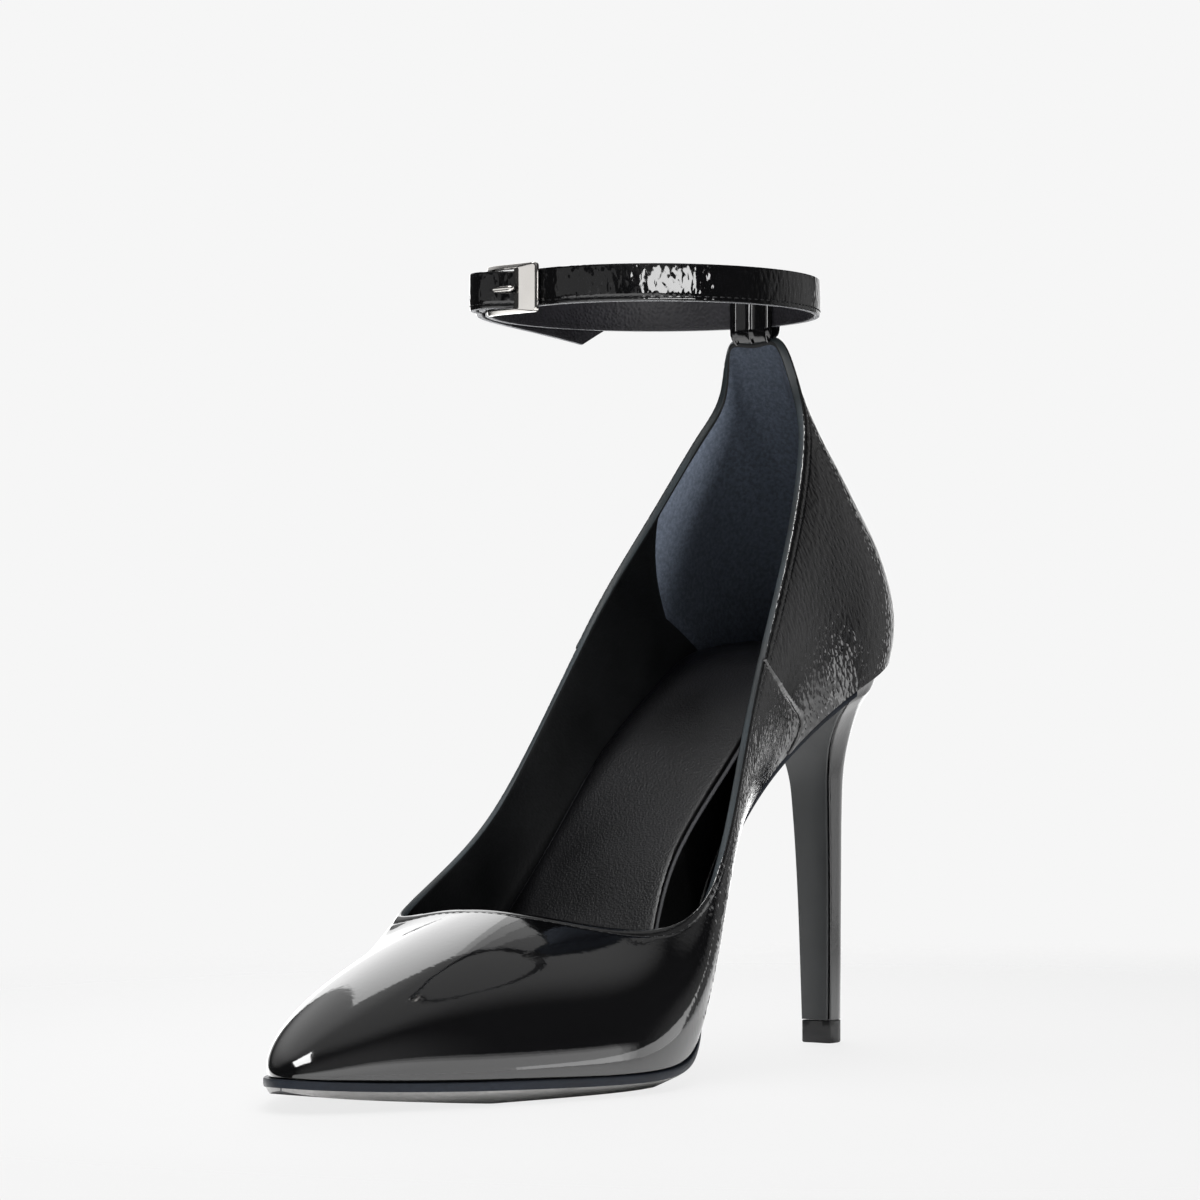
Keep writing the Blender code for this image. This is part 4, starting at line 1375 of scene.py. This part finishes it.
@dataclass
class Strap:
    """The ankle strap with its stitches, and the loop that holds it at the back."""

    ring: Ring
    width: float = 8.6
    thick: float = 1.5
    step: float = 0.7
    hinge: float = HINGE_ALONG
    hinge_radius: float = 1.65
    hinge_out: float = HINGE_OUT
    fold_steps: int = 16
    tail_length: float = 71.0
    tail_oblique: float = 11.0
    tail_drop: float = 3.5
    tail_point: float = 0.22
    tail_steps: int = 14
    overlap_steps: int = 8
    dome: float = 0.14
    dome_sink: float = 0.3          # share of the dome by which the whole face is sunk
    trough: float = 0.12
    trough_share: float = 0.055     # its width, as a share of the half width
    face_share: float = 0.94        # share of the half width where the face and the lining end
    face_points: int = 33
    lining_points: int = 17
    stitch_inset: float = 1.1
    stitch_step: float = 2.0
    stitch_lift: float = 0.02
    loop_half: float = 6.2
    loop_wall: float = 0.9
    loop_rise: float = 0.5
    loop_points: int = 41
    loop_back_every: int = 8        # points of the loop's skin for each one behind it
    loop_path_steps: int = 4
    loop_bevel: float = 0.2
    loop_foot: float = 0.25
    loop_skived: float = 0.35       # share of the loop's thickness that is left at its root
    loop_root: float = 0.8          # share of the loop's width that stays
    loop_widening: float = 0.2      # share of it that shrinks as the loop is pared

    STITCH = (0.68, 0.17, 0.10)     # half length, half width and half height of a stitch
    # The strap's two edges: share of the half width, distance out, share of the face's creases, and finish
    UPPER_EDGE = ((0.985, 0.60, 0.6, 0), (1.0, 0.28, 0.0, 2), (1.0, -0.28, 0.0, 2), (0.985, -0.60, 0.0, 1))
    LOWER_EDGE = (
        (-0.985, -0.60, 0.0, 2), (-1.0, -0.28, 0.0, 2), (-1.0, 0.28, 0.0, 2), (-0.985, 0.60, 0.6, 0),
    )
    LOOP_RIM = (0.9, 0.55)          # the loop's raised rims: inset from its sides, and width
    LOOP_BAR = (1.15, 0.3, 0.62)    # the bar down its middle: height by the rims', place, and width
    SKIVING = (-8.2, -5.6)          # lifts between which the loop is pared towards its root
    FLAP = (StrapPoint(-11.6, 1.9), StrapPoint(-9.2, 2.5))
    TAB_END = (StrapPoint(-9.4, -0.5), StrapPoint(-10.6, -0.35))
    BODY_START = (StrapPoint(-10.8, -0.32), StrapPoint(-13.0, 0.0))
    OVERLAP = (
        StrapPoint(14.0, 0.0), StrapPoint(8.6, -0.65), StrapPoint(2.5, -0.65), StrapPoint(0.0, -0.35),
        StrapPoint(-2.5, 1.5), StrapPoint(-5.2, 3.95), StrapPoint(-7.4, 4.7), StrapPoint(-9.8, 4.4),
        StrapPoint(-12.2, 3.7), StrapPoint(-15.5, 2.5), StrapPoint(-20.0, 2.0),
    )
    # The loop's near side, from its root up the ankle side, over the strap and down the outer side:
    # distance out from the ring, and lift
    LOOP_PATH = (
        (0.95, -10.2), (-0.65, -7.7), (-1.05, -5.8), (-1.05, -3.0), (-1.05, 0.0), (-1.05, 3.2),
        (-0.85, 4.4), (0.0, 4.7), (0.85, 4.4), (1.05, 3.2), (1.05, 0.0), (1.05, -3.0), (0.85, -5.4),
        (-0.3, -7.5), (0.95, -10.2),
    )

    def tab_rows(self) -> Array:
        """The folded tab's middle line, from its flap round the hinge bar to the seam with the body.

        Returns:
            Rows of distance along the ring, distance out, lift, and half the width.
        """
        half = self.width / 2
        rows = [(along, out, 0.0, half) for along, out in self.FLAP]
        for turn in np.linspace(math.pi / 2, -math.pi / 2, self.fold_steps + 1):
            along = self.hinge + self.hinge_radius * math.cos(turn)
            rows.append((along, self.hinge_out + self.hinge_radius * math.sin(turn), 0.0, half))
        rows += [(along, out, 0.0, half) for along, out in self.TAB_END]
        return np.array(rows)

    def body_rows(self) -> Array:
        """The body's middle line, from its free end once round the ankle to the seam with the tab.

        Returns:
            Rows of distance along the ring, distance out, lift, and half the width.
        """
        half = self.width / 2
        rows = [(along, out, 0.0, half) for along, out in self.BODY_START]
        overlap = smooth_rows(self.OVERLAP, self.overlap_steps) - np.array([self.ring.length, 0.0])
        count = round((rows[-1][0] - overlap[0][0]) / self.step)
        for along in np.linspace(rows[-1][0], overlap[0][0], count + 1)[1:-1]:
            rows.append((along, 0.0, 0.0, half))
        rows += [(along, out, 0.0, half) for along, out in overlap]
        start, out = overlap[-1]
        end = -self.tail_length - self.ring.length
        count = round((start - end) / self.step)
        for share in np.linspace(0, 1, count + 1)[1:]:
            rows.append((start + (end - start) * share, out, -self.tail_drop * share ** 3, half))
        along, out, lift, _ = rows[-1]
        for share in np.linspace(0, 1, self.tail_steps + 1)[1:]:
            narrow = half * (1 - (1 - self.tail_point) * share)
            rows.append((along - self.tail_oblique * share, out, lift + half - narrow, narrow))
        return np.array(rows[::-1])

    def sewn_share(self) -> float:
        """Share of the half width where the stitches run."""
        return 1 - self.stitch_inset / (self.width / 2)

    def section(self) -> Array:
        """Lays out the strap's section.

        Returns:
            Rows of share of the half width, distance out, share of the face's creases, and finish.
        """
        flat = self.thick / 2
        end = self.face_share
        face = []
        for across in np.linspace(-end, end, self.face_points):
            sewn = self.trough * hump(-across, self.sewn_share(), self.trough_share)
            rise = self.dome * (1 - across * across) - sewn
            face.append((across, flat + rise - self.dome * self.dome_sink, 1.0, 0))
        lining = [(across, -flat, 0.0, 1) for across in np.linspace(end, -end, self.lining_points)]
        return np.array([*face, *self.UPPER_EDGE, *lining, *self.LOWER_EDGE, face[0]])

    def build_leather(self, name: str, strip: Strip, nodes: Sequence[str] = ()) -> None:
        """Builds a length of the strap.

        Args:
            name: the piece's name.
            strip: its middle line.
            nodes: the solids that it stands for.
        """
        section = self.section()

        def shape(u: Array, v: Array) -> Array:
            """Points along the strip by u and round its section by v."""
            across, out, face, _ = section[nearest(v, section)].T
            return strip.skin(nearest(u, strip.table), across, out, face)

        def zones(u: Array, v: Array) -> Array:
            """Lacquer on the face, lining behind it and a bare edge between them."""
            return section[np.clip((v * (len(section) - 1)).astype(int), 0, len(section) - 1), 3]

        leather = shaped_grid(len(strip.table) - 1, len(section) - 1, shape, zones)
        close_ends(leather)
        add_piece(name, leather, (STRAP_PATENT, STRAP_LINING, RAW_EDGE), nodes)

    def build_stitches(self, strip: Strip) -> None:
        """Sews a row along the lower edge of the body, through to its lining.

        Args:
            strip: the body's middle line.
        """
        runs = []
        body = np.arange(self.tail_steps, len(strip.table) - len(self.BODY_START))
        across = np.full(len(body), -self.sewn_share())
        for out, face in ((self.thick / 2 + self.stitch_lift, 1.0), (-self.thick / 2, 0.0)):
            points = strip.skin(body, across, np.full(len(body), out), face)
            runs.append((points, strip.side[body] if face else -strip.side[body]))
        add_stitches("strap_stitches", runs, self.stitch_step, self.STITCH)

    def build_loop(self) -> None:
        """Builds the loop: a strip folded over the strap, with raised rims and a bar down its middle."""
        places = np.linspace(-self.loop_half, self.loop_half, self.loop_points)
        inset, rim_width = self.LOOP_RIM
        bar_height, bar_place, bar_width = self.LOOP_BAR
        rims = hump(np.abs(places), self.loop_half - inset, rim_width)
        walls = self.loop_wall + self.loop_rise * (rims + bar_height * hump(places, bar_place, bar_width))
        walls[[0, -1]] = self.loop_wall - self.loop_bevel
        skin = list(zip(places, walls))
        back = [(place, 0.0) for place in places[::-self.loop_back_every]]
        feet = [(place, self.loop_foot) for place in (places[-1], places[0])]
        section = np.array(skin + feet[:1] + back + feet[1:] + skin[:1])
        path = smooth_rows(self.LOOP_PATH, self.loop_path_steps)
        run = np.gradient(path, axis=0)
        run /= np.linalg.norm(run, axis=1)[:, None]
        way = np.column_stack([-run[:, 1], run[:, 0]])
        skived = self.loop_skived + (1 - self.loop_skived) * smooth_step(path[:, 1], *self.SKIVING)

        def shape(u: Array, v: Array) -> Array:
            """Lays out the loop.

            Args:
                u: the way over the strap.
                v: the way round the loop's section.

            Returns:
                A point for each pair.
            """
            index = nearest(u, path)
            place, wall = section[nearest(v, section)].T
            out, lift = (path[index] + (wall * skived[index])[:, None] * way[index]).T
            narrowed = place * (self.loop_root + self.loop_widening * skived[index])
            return self.ring.points(self.ring.loop_along + narrowed, out, lift)[0]

        loop = shaped_grid(len(path) - 1, len(section) - 1, shape)
        close_ends(loop)
        add_piece("panelled_loop", loop, (TIGHT_PATENT,), ("strap_loop",))

    def build(self) -> None:
        """Builds the folded tab, the body, its stitches and the loop."""
        self.build_leather("folded_tab", Strip(self.ring, self.tab_rows()))
        body = Strip(self.ring, self.body_rows())
        self.build_leather("creased_strap", body, ("ankle_strap",))
        self.build_stitches(body)
        self.build_loop()


@dataclass
class Buckle:
    """The bright frame with its broad bar, and the prong."""

    ring: Ring
    height: float = 11.4
    bar: float = 1.2
    plate: float = 7.0
    end: float = 8.4
    hinge: float = HINGE_ALONG
    out: float = HINGE_OUT
    crest: float = 0.28             # share of the broad bar's width from its inner edge to its crease
    crease: float = 0.02            # share of it to each side of the crease
    outer_corner: float = 1.0
    inner_corner: float = 0.35
    corner_steps: int = 7
    side_steps: int = 10
    prong: float = 0.7
    prong_spread: float = 1.05
    prong_depth: float = 0.62
    prong_steps: int = 10
    prong_points: int = 16
    prong_blunt: float = 0.9        # share of the pin where its rounded tip starts
    prong_least: float = 0.05

    # The notch in the broad bar for the prong
    NOTCH_DEPTH = 0.35
    NOTCH_PLACE = 0.3
    NOTCH_LENGTH = 0.8
    NOTCH_WIDTH = 0.9
    PRONG_PATH = (
        StrapPoint(-8.75, 1.0), StrapPoint(-8.5, 2.2), StrapPoint(-7.2, 2.65), StrapPoint(-2.0, 2.6),
        StrapPoint(2.6, 2.6),
    )

    def rim(self, first: float, last: float, half: float, radius: float) -> Array:
        """A rounded rectangle beside the ring.

        Args:
            first: where it starts along the ring.
            last: where it ends.
            half: half its height.
            radius: of its corners.

        Returns:
            Its points as distance along and lift, with the first one again at the end.
        """
        points = []
        corners = ((last, 1), (first, 1), (first, -1), (last, -1))
        for turn, (along, side) in enumerate(corners):
            way = 1 if along == last else -1
            middle = (along - way * radius, side * (half - radius))
            for share in np.linspace(0, 1, self.corner_steps):
                angle = (turn + share) * math.pi / 2
                points.append((middle[0] + radius * math.cos(angle), middle[1] + radius * math.sin(angle)))
            after_along, after_side = corners[(turn + 1) % 4]
            after_way = 1 if after_along == last else -1
            after = (after_along - after_way * radius, after_side * (half - radius))
            angle = (turn + 1) * math.pi / 2
            start = np.array(points[-1])
            stop = np.array(after) + radius * np.array([math.cos(angle), math.sin(angle)])
            points += [tuple(start + (stop - start) * s) for s in np.linspace(0, 1, self.side_steps)[1:-1]]
        return np.array(points + points[:1])

    def build_frame(self) -> None:
        """Builds the frame, with rounded arrises and a crease down the broad bar."""
        half_bar = self.bar / 2
        half_height = self.height / 2
        plate_start = self.end - self.plate
        outer = self.rim(self.hinge - half_bar, self.end, half_height, self.outer_corner)
        inner = self.rim(self.hinge + half_bar, plate_start, half_height - self.bar, self.inner_corner)
        # Share of the bar's width from its inner edge, and rise as a share of the narrow bar
        front = (
            (0.0, 0.32), (0.025, 0.5), (0.06, 0.56), (self.crest - self.crease, 0.70), (self.crest, 0.72),
            (self.crest + self.crease, 0.70), (0.90, 0.50), (0.97, 0.40), (1.0, 0.18),
        )
        back = ((1.0, -0.3), (0.95, -0.5), (0.5, -0.6), (0.05, -0.5), (0.0, -0.3))
        section = np.array(front + back + front[:1])

        def shape(u: Array, v: Array) -> Array:
            """Lays out the frame.

            Args:
                u: the way round it.
                v: the way over its bar.

            Returns:
                A point for each pair.
            """
            index = nearest(u, outer)
            share, rise = section[nearest(v, section)].T
            flat = inner[index] + share[:, None] * (outer[index] - inner[index])
            lift = flat[:, 1]
            notch = self.NOTCH_DEPTH * hump(flat[:, 0], plate_start + self.NOTCH_PLACE, self.NOTCH_LENGTH)
            notch = notch * hump(lift, 0, self.NOTCH_WIDTH)
            out = self.out + rise * self.bar - np.where(rise > 0, notch, 0)
            return self.ring.points(flat[:, 0], out, lift)[0]

        frame = shaped_grid(len(outer) - 1, len(section) - 1, shape)
        add_piece("nickel_frame", frame, (NICKEL,), ("buckle_frame",))

    def build_prong(self) -> None:
        """Builds the prong: a flattened pin, hooked round the hinge bar, with a rounded tip."""
        path = smooth_rows(self.PRONG_PATH, self.prong_steps)
        around = self.prong_points

        def shape(u: Array, v: Array) -> Array:
            """Lays out the pin.

            Args:
                u: the way along it.
                v: the way round it.

            Returns:
                A point for each pair.
            """
            index = nearest(u, path)
            angle = 2 * math.pi * np.round(v * around) / around
            run = np.gradient(path, axis=0)[index]
            run /= np.linalg.norm(run, axis=1)[:, None]
            blunt = np.sqrt(np.clip(1 - smooth_step(u, self.prong_blunt, 1.0) ** 2, self.prong_least, 1))
            depth = self.prong_depth * np.cos(angle) * blunt
            along = path[index, 0] - run[:, 1] * depth
            out = path[index, 1] + run[:, 0] * depth
            return self.ring.points(along, out, self.prong * self.prong_spread * np.sin(angle) * blunt)[0]

        pin = shaped_grid(len(path) - 1, around, shape)
        close_ends(pin)
        add_piece("nickel_prong", pin, (NICKEL,), ("buckle_prong",))

    def build(self) -> None:
        """Builds the frame and the prong."""
        self.build_frame()
        self.build_prong()


class Glow(NamedTuple):
    """A soft round patch of light in the room: where it is seen, its radii in degrees, its brightness."""

    turn: float
    lift: float
    full: float
    faint: float
    level: float


class Softbox(NamedTuple):
    """A softbox: the point it faces, where it hangs from there, its size, brightness and lit pieces."""

    name: str
    aim: tuple[float, float, float]
    turn: float
    lift: float
    distance: float
    width: float
    height: float
    glow: float
    only: tuple[str, ...]


@dataclass
class Studio:
    """The photographer's set: pale floor, pale backdrop, soft lights and the camera."""

    view_turn: float = 31.9         # degrees from the toe's direction round to the outer side
    view_distance: float = 942.4    # from the heel tip
    view_height: float = 79.8
    focal: float = 3717.8           # in pixels of a picture of picture_width
    centre_x: float = 824.1         # the pixel of a level line of sight through the heel tip
    horizon_y: float = 724.2
    picture_width: float = 1200.0
    sensor: float = 36.0
    backdrop: str = "#f6f6f6"
    floor_size: float = 1.2         # metres from its middle to its edge
    floor_tone: float = 0.035       # how much of the lights' shade the floor shows, lit through from below
    floor_glow: float = 0.80
    floor_paint: float = 0.90       # how pale the floor is to the shoe
    floor_roughness: float = 0.9
    floor_shine: float = 0.1
    floor_end: float = 0.45         # metres from the heel tip where the floor ends, and where it is whole
    floor_whole: float = 0.25
    near_clip: float = 0.01
    room: float = 0.04              # brightness of the dark room

    # Lit walls of the room, by degrees to the right of the camera and degrees up
    GLOWS = (
        Glow(-175, 50, 26, 42, 0.40), Glow(-146, 38, 16, 30, 0.30), Glow(15, 48, 20, 46, 0.30),
        Glow(126, 4, 6, 32, 0.26), Glow(172, 0, 8, 19, 0.95), Glow(-168, -10, 10, 24, 1.4),
        Glow(-10, -50, 42, 54, 1.8),
    )
    # The card before the toe in level bands, each dimmer than the one below: from, to, and brightness
    CARD_BANDS = ((0.0, 0.155, 2.2), (0.155, 0.185, 1.5), (0.185, 0.215, 0.7))
    # The same card from left to right, dimmer at its right end: from, to, and share of the brightness
    CARD_PARTS = ((-0.4, 0.54, 1.0), (0.54, 0.64, 0.65), (0.64, 0.76, 0.3))
    # The strip behind the toe in upright bands: degrees round, width in metres, and brightness
    STRIP_BANDS = ((-169, 0.32, 2.0), (177.5, 0.06, 1.1), (173, 0.06, 0.6), (168.5, 0.06, 0.3))
    # What the cards are flagged off to
    SHOE = (
        "patent_upper", "topline_stitches", "waxed_outsole", "covered_heel", "breast_strip", "wearing_tip",
    )
    STRAP = ("creased_strap", "folded_tab", "strap_stitches", "panelled_loop")
    METAL = ("nickel_frame", "nickel_prong")
    # Points that lights face, in metres
    VAMP = (0.165, 0.01, 0.0)
    MIDDLE = (0.10, 0.0, 0.05)
    ANKLE = (0.115, 0.01, 0.18)
    SEAT = (0.02, 0.0, 0.13)
    STEM = (0.0, 0.0, 0.09)
    CARD_TURN = 20
    CARD_DISTANCE = 0.19
    # The low card beside the toe: it faces a point that lies so far from the vamp and so high, by its turn
    LOW_TURN = 15
    LOW_SHIFT = 0.075
    LOW_HEIGHT = 0.025
    LOW_DISTANCE = 0.35
    LOW_SIZE = (0.35, 0.05)
    LOW_GLOW = 2.2
    STRIP_MIDDLE = 0.52
    STRIP_DISTANCE = 0.8
    STRIP_HEIGHT = 1.1
    HEEL_CARD = Softbox("heel card", STEM, 138, 0, 0.5, 0.62, 0.34, 0.9, ("covered_heel",))
    SOFTBOXES = (
        Softbox("key", MIDDLE, -80, 64, 0.9, 0.26, 0.26, 15.0, SHOE + STRAP + METAL + ("padded_sock",)),
        Softbox("left card", ANKLE, -66, 4, 0.55, 0.5, 0.28, 1.2, METAL),
        Softbox("inside light", SEAT, 55, 26, 0.5, 0.16, 0.16, 62.0, ("suede_grip",)),
        Softbox("strap light", ANKLE, 33, 7, 0.5, 0.33, 0.09, 12.0, ("creased_strap", "strap_stitches")),
        Softbox("strap card", ANKLE, -40, 7, 0.5, 0.6, 0.12, 0.4, STRAP),
        Softbox("loop light", ANKLE, -8, 12, 0.5, 0.12, 0.12, 9.0, ("panelled_loop",)),
    )
    FILL_HEIGHT = 1.4
    FILL_SIZE = (2.2, 2.2)
    FILL_GLOW = 0.25
    # The two lights over the floor, before and behind the vamp
    FLOOR_TURNS = (10, -170)
    FLOOR_SHIFT = 0.15
    FLOOR_HEIGHT = 0.35
    FLOOR_LIGHT = (0.3, 0.3)
    FLOOR_LIGHT_GLOW = 8.0

    def towards(self, turn: float, lift: float) -> Vector:
        """Finds a direction from the shoe.

        Args:
            turn: degrees to the right of the camera, as the shoe sees it.
            lift: degrees up.

        Returns:
            The unit direction.
        """
        flat = math.radians(self.view_turn + turn)
        up = math.radians(lift)
        return Vector((math.cos(flat) * math.cos(up), math.sin(flat) * math.cos(up), math.sin(up)))

    def build_camera(self) -> None:
        """Stands the camera where the photograph was taken from."""
        flat = math.radians(self.view_turn)
        forward = Vector((-math.cos(flat), -math.sin(flat), 0.0))
        right = Vector((-math.sin(flat), math.cos(flat), 0.0))
        middle = self.picture_width / 2
        yaw = math.atan((middle - self.centre_x) / self.focal)
        pitch = math.atan((self.horizon_y - middle) / self.focal)
        level = forward * math.cos(yaw) + right * math.sin(yaw)
        axis = level * math.cos(pitch) + Vector((0, 0, math.sin(pitch)))
        data = bpy.data.cameras.new("photograph view")
        data.sensor_width = self.sensor
        data.lens = self.focal / math.cos(yaw) / self.picture_width * self.sensor
        data.clip_start = self.near_clip
        camera = bpy.data.objects.new("photograph view", data)
        camera.location = (*(-forward * self.view_distance * MM)[:2], self.view_height * MM)
        camera.rotation_euler = axis.to_track_quat("-Z", "Y").to_euler()
        bpy.context.scene.collection.objects.link(camera)
        bpy.context.scene.camera = camera

    def add_softbox(
        self, name: str, place: Vector, aim: Vector, size: tuple[float, float], glow: float,
        mirrored: bool = True, only: Sequence[str] = (),
    ) -> None:
        """Hangs a softbox.

        Args:
            name: the light's name.
            place: its middle, in metres.
            aim: the point it faces.
            size: its width and height in metres.
            glow: how bright its face looks, where 1 is white.
            mirrored: whether the lacquer mirrors it.
            only: the pieces it is flagged off to light, or none for all of them.
        """
        data = bpy.data.lights.new(name, "AREA")
        data.shape = "RECTANGLE"
        data.size, data.size_y = size
        data.energy = glow * size[0] * size[1] * math.pi
        light = bpy.data.objects.new(name, data)
        light.location = place
        light.rotation_euler = (place - aim).to_track_quat("Z", "Y").to_euler()
        light.visible_camera = False
        light.visible_glossy = mirrored
        bpy.context.scene.collection.objects.link(light)
        if only:
            lit = bpy.data.collections.new(name + " pieces")
            for piece in only:
                lit.objects.link(bpy.data.objects[piece])
            light.light_linking.receiver_collection = lit

    def hang(self, box: Softbox) -> None:
        """Hangs a softbox of the table.

        Args:
            box: the softbox.
        """
        aim = Vector(box.aim)
        place = aim + self.towards(box.turn, box.lift) * box.distance
        self.add_softbox(box.name, place, aim, (box.width, box.height), box.glow, only=box.only)

    def build_lights(self) -> None:
        """Hangs the lights, once the pieces that some of them are flagged off to are there."""
        vamp = Vector(self.VAMP)
        up = Vector((0.0, 0.0, 1.0))
        across = self.towards(self.CARD_TURN + 90, 0)
        for low, high, glow in self.CARD_BANDS:
            for left, right, share in self.CARD_PARTS:
                aim = vamp + up * (low + high) / 2 + across * (left + right) / 2
                place = aim + self.towards(self.CARD_TURN, 0) * self.CARD_DISTANCE
                size = (right - left, high - low)
                self.add_softbox("front card", place, aim, size, glow * share, only=self.SHOE)
        aim = vamp + up * self.LOW_HEIGHT + self.towards(self.LOW_TURN, 0) * self.LOW_SHIFT
        place = aim + self.towards(self.LOW_TURN + 90, 0) * self.LOW_DISTANCE
        low_pieces = ("patent_upper", "waxed_outsole")
        self.add_softbox("low side card", place, aim, self.LOW_SIZE, self.LOW_GLOW, only=low_pieces)
        self.hang(self.HEEL_CARD)
        aim = vamp + up * self.STRIP_MIDDLE
        for turn, width, glow in self.STRIP_BANDS:
            place = aim + self.towards(turn, 0) * self.STRIP_DISTANCE
            self.add_softbox("rear strip", place, aim, (width, self.STRIP_HEIGHT), glow)
        for box in self.SOFTBOXES:
            self.hang(box)
        overhead = up * self.FILL_HEIGHT
        self.add_softbox(
            "fill", overhead, Vector(self.MIDDLE), self.FILL_SIZE, self.FILL_GLOW, mirrored=False
        )
        for turn in self.FLOOR_TURNS:
            spot = vamp + self.towards(turn, 0) * self.FLOOR_SHIFT
            self.add_softbox(
                "floor fill", spot + up * self.FLOOR_HEIGHT, spot, self.FLOOR_LIGHT, self.FLOOR_LIGHT_GLOW,
                mirrored=False, only=("pale_floor",),
            )

    def build_world(self) -> None:
        """Surrounds the shoe with a dark room with lit walls, and gives the camera the pale backdrop."""
        world = bpy.data.worlds.new("studio")
        world.use_nodes = True
        tree = world.node_tree
        tree.nodes.clear()
        way = add_node(tree, "ShaderNodeTexCoord", {}).outputs["Generated"]
        total = self.room
        for glow in self.GLOWS:
            facing = add_node(
                tree, "ShaderNodeVectorMath", {0: way, 1: self.towards(glow.turn, glow.lift)},
                operation="DOT_PRODUCT",
            )
            patch = add_node(
                tree, "ShaderNodeMapRange",
                {"Value": facing.outputs["Value"], "From Min": math.cos(math.radians(glow.faint)),
                 "From Max": math.cos(math.radians(glow.full))},
                interpolation_type="SMOOTHSTEP",
            )
            total = add_node(
                tree, "ShaderNodeMath", {0: patch.outputs[0], 1: glow.level, 2: total},
                operation="MULTIPLY_ADD",
            ).outputs[0]
        room = add_node(tree, "ShaderNodeBackground", {"Strength": total, "Color": (1, 1, 1, 1)})
        sheet = add_node(tree, "ShaderNodeBackground", {"Color": linear(self.backdrop)})
        ray = add_node(tree, "ShaderNodeLightPath", {})
        mixed = add_node(
            tree, "ShaderNodeMixShader",
            {0: ray.outputs["Is Camera Ray"], 1: room.outputs[0], 2: sheet.outputs[0]},
        )
        add_node(tree, "ShaderNodeOutputWorld", {"Surface": mixed.outputs[0]})
        bpy.context.scene.world = world

    def build_floor(self) -> None:
        """Lays the pale floor."""
        builder = bmesh.new()
        bmesh.ops.create_grid(builder, x_segments=4, y_segments=4, size=self.floor_size)
        mesh = bpy.data.meshes.new("pale_floor")
        builder.to_mesh(mesh)
        builder.free()
        floor = bpy.data.objects.new("pale_floor", mesh)
        bpy.context.scene.collection.objects.link(floor)
        paint = bpy.data.materials.new("matt white sweep")
        paint.use_nodes = True
        tree = paint.node_tree
        shader = tree.nodes["Principled BSDF"]
        shader.inputs["Roughness"].default_value = self.floor_roughness
        shader.inputs["Specular IOR Level"].default_value = self.floor_shine
        place = add_node(tree, "ShaderNodeTexCoord", {}).outputs["Object"]
        ray = add_node(tree, "ShaderNodeLightPath", {})
        tone = add_node(
            tree, "ShaderNodeMapRange",
            {"Value": ray.outputs["Is Camera Ray"], "To Min": self.floor_paint, "To Max": self.floor_tone},
        )
        glow = add_node(
            tree, "ShaderNodeMapRange",
            {"Value": ray.outputs["Is Camera Ray"], "To Min": 0.0, "To Max": self.floor_glow},
        )
        shader.inputs["Emission Color"].default_value = linear("#ffffff")
        far = add_node(tree, "ShaderNodeVectorMath", {0: place}, operation="LENGTH")
        whole = add_node(
            tree, "ShaderNodeMapRange",
            {"Value": far.outputs["Value"], "From Min": self.floor_end, "From Max": self.floor_whole},
            interpolation_type="SMOOTHSTEP",
        )
        tree.links.new(tone.outputs[0], shader.inputs["Base Color"])
        tree.links.new(glow.outputs[0], shader.inputs["Emission Strength"])
        tree.links.new(whole.outputs[0], shader.inputs["Alpha"])
        mesh.materials.append(paint)

    def build(self) -> None:
        """Builds the set, apart from its lights."""
        bpy.context.scene.view_settings.view_transform = "Standard"
        self.build_camera()
        self.build_world()
        self.build_floor()


def main() -> None:
    """Builds the set and the shoe."""
    logging.basicConfig(level=logging.INFO, format="%(name)s %(message)s")
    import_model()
    studio = Studio()
    studio.build()
    last = Last()
    ring = Ring()
    for part in (Upper(last), Bottom(last), Heel(last), Strap(ring), Buckle(ring)):
        part.build()
    studio.build_lights()


if __name__ == "__main__":
    main()
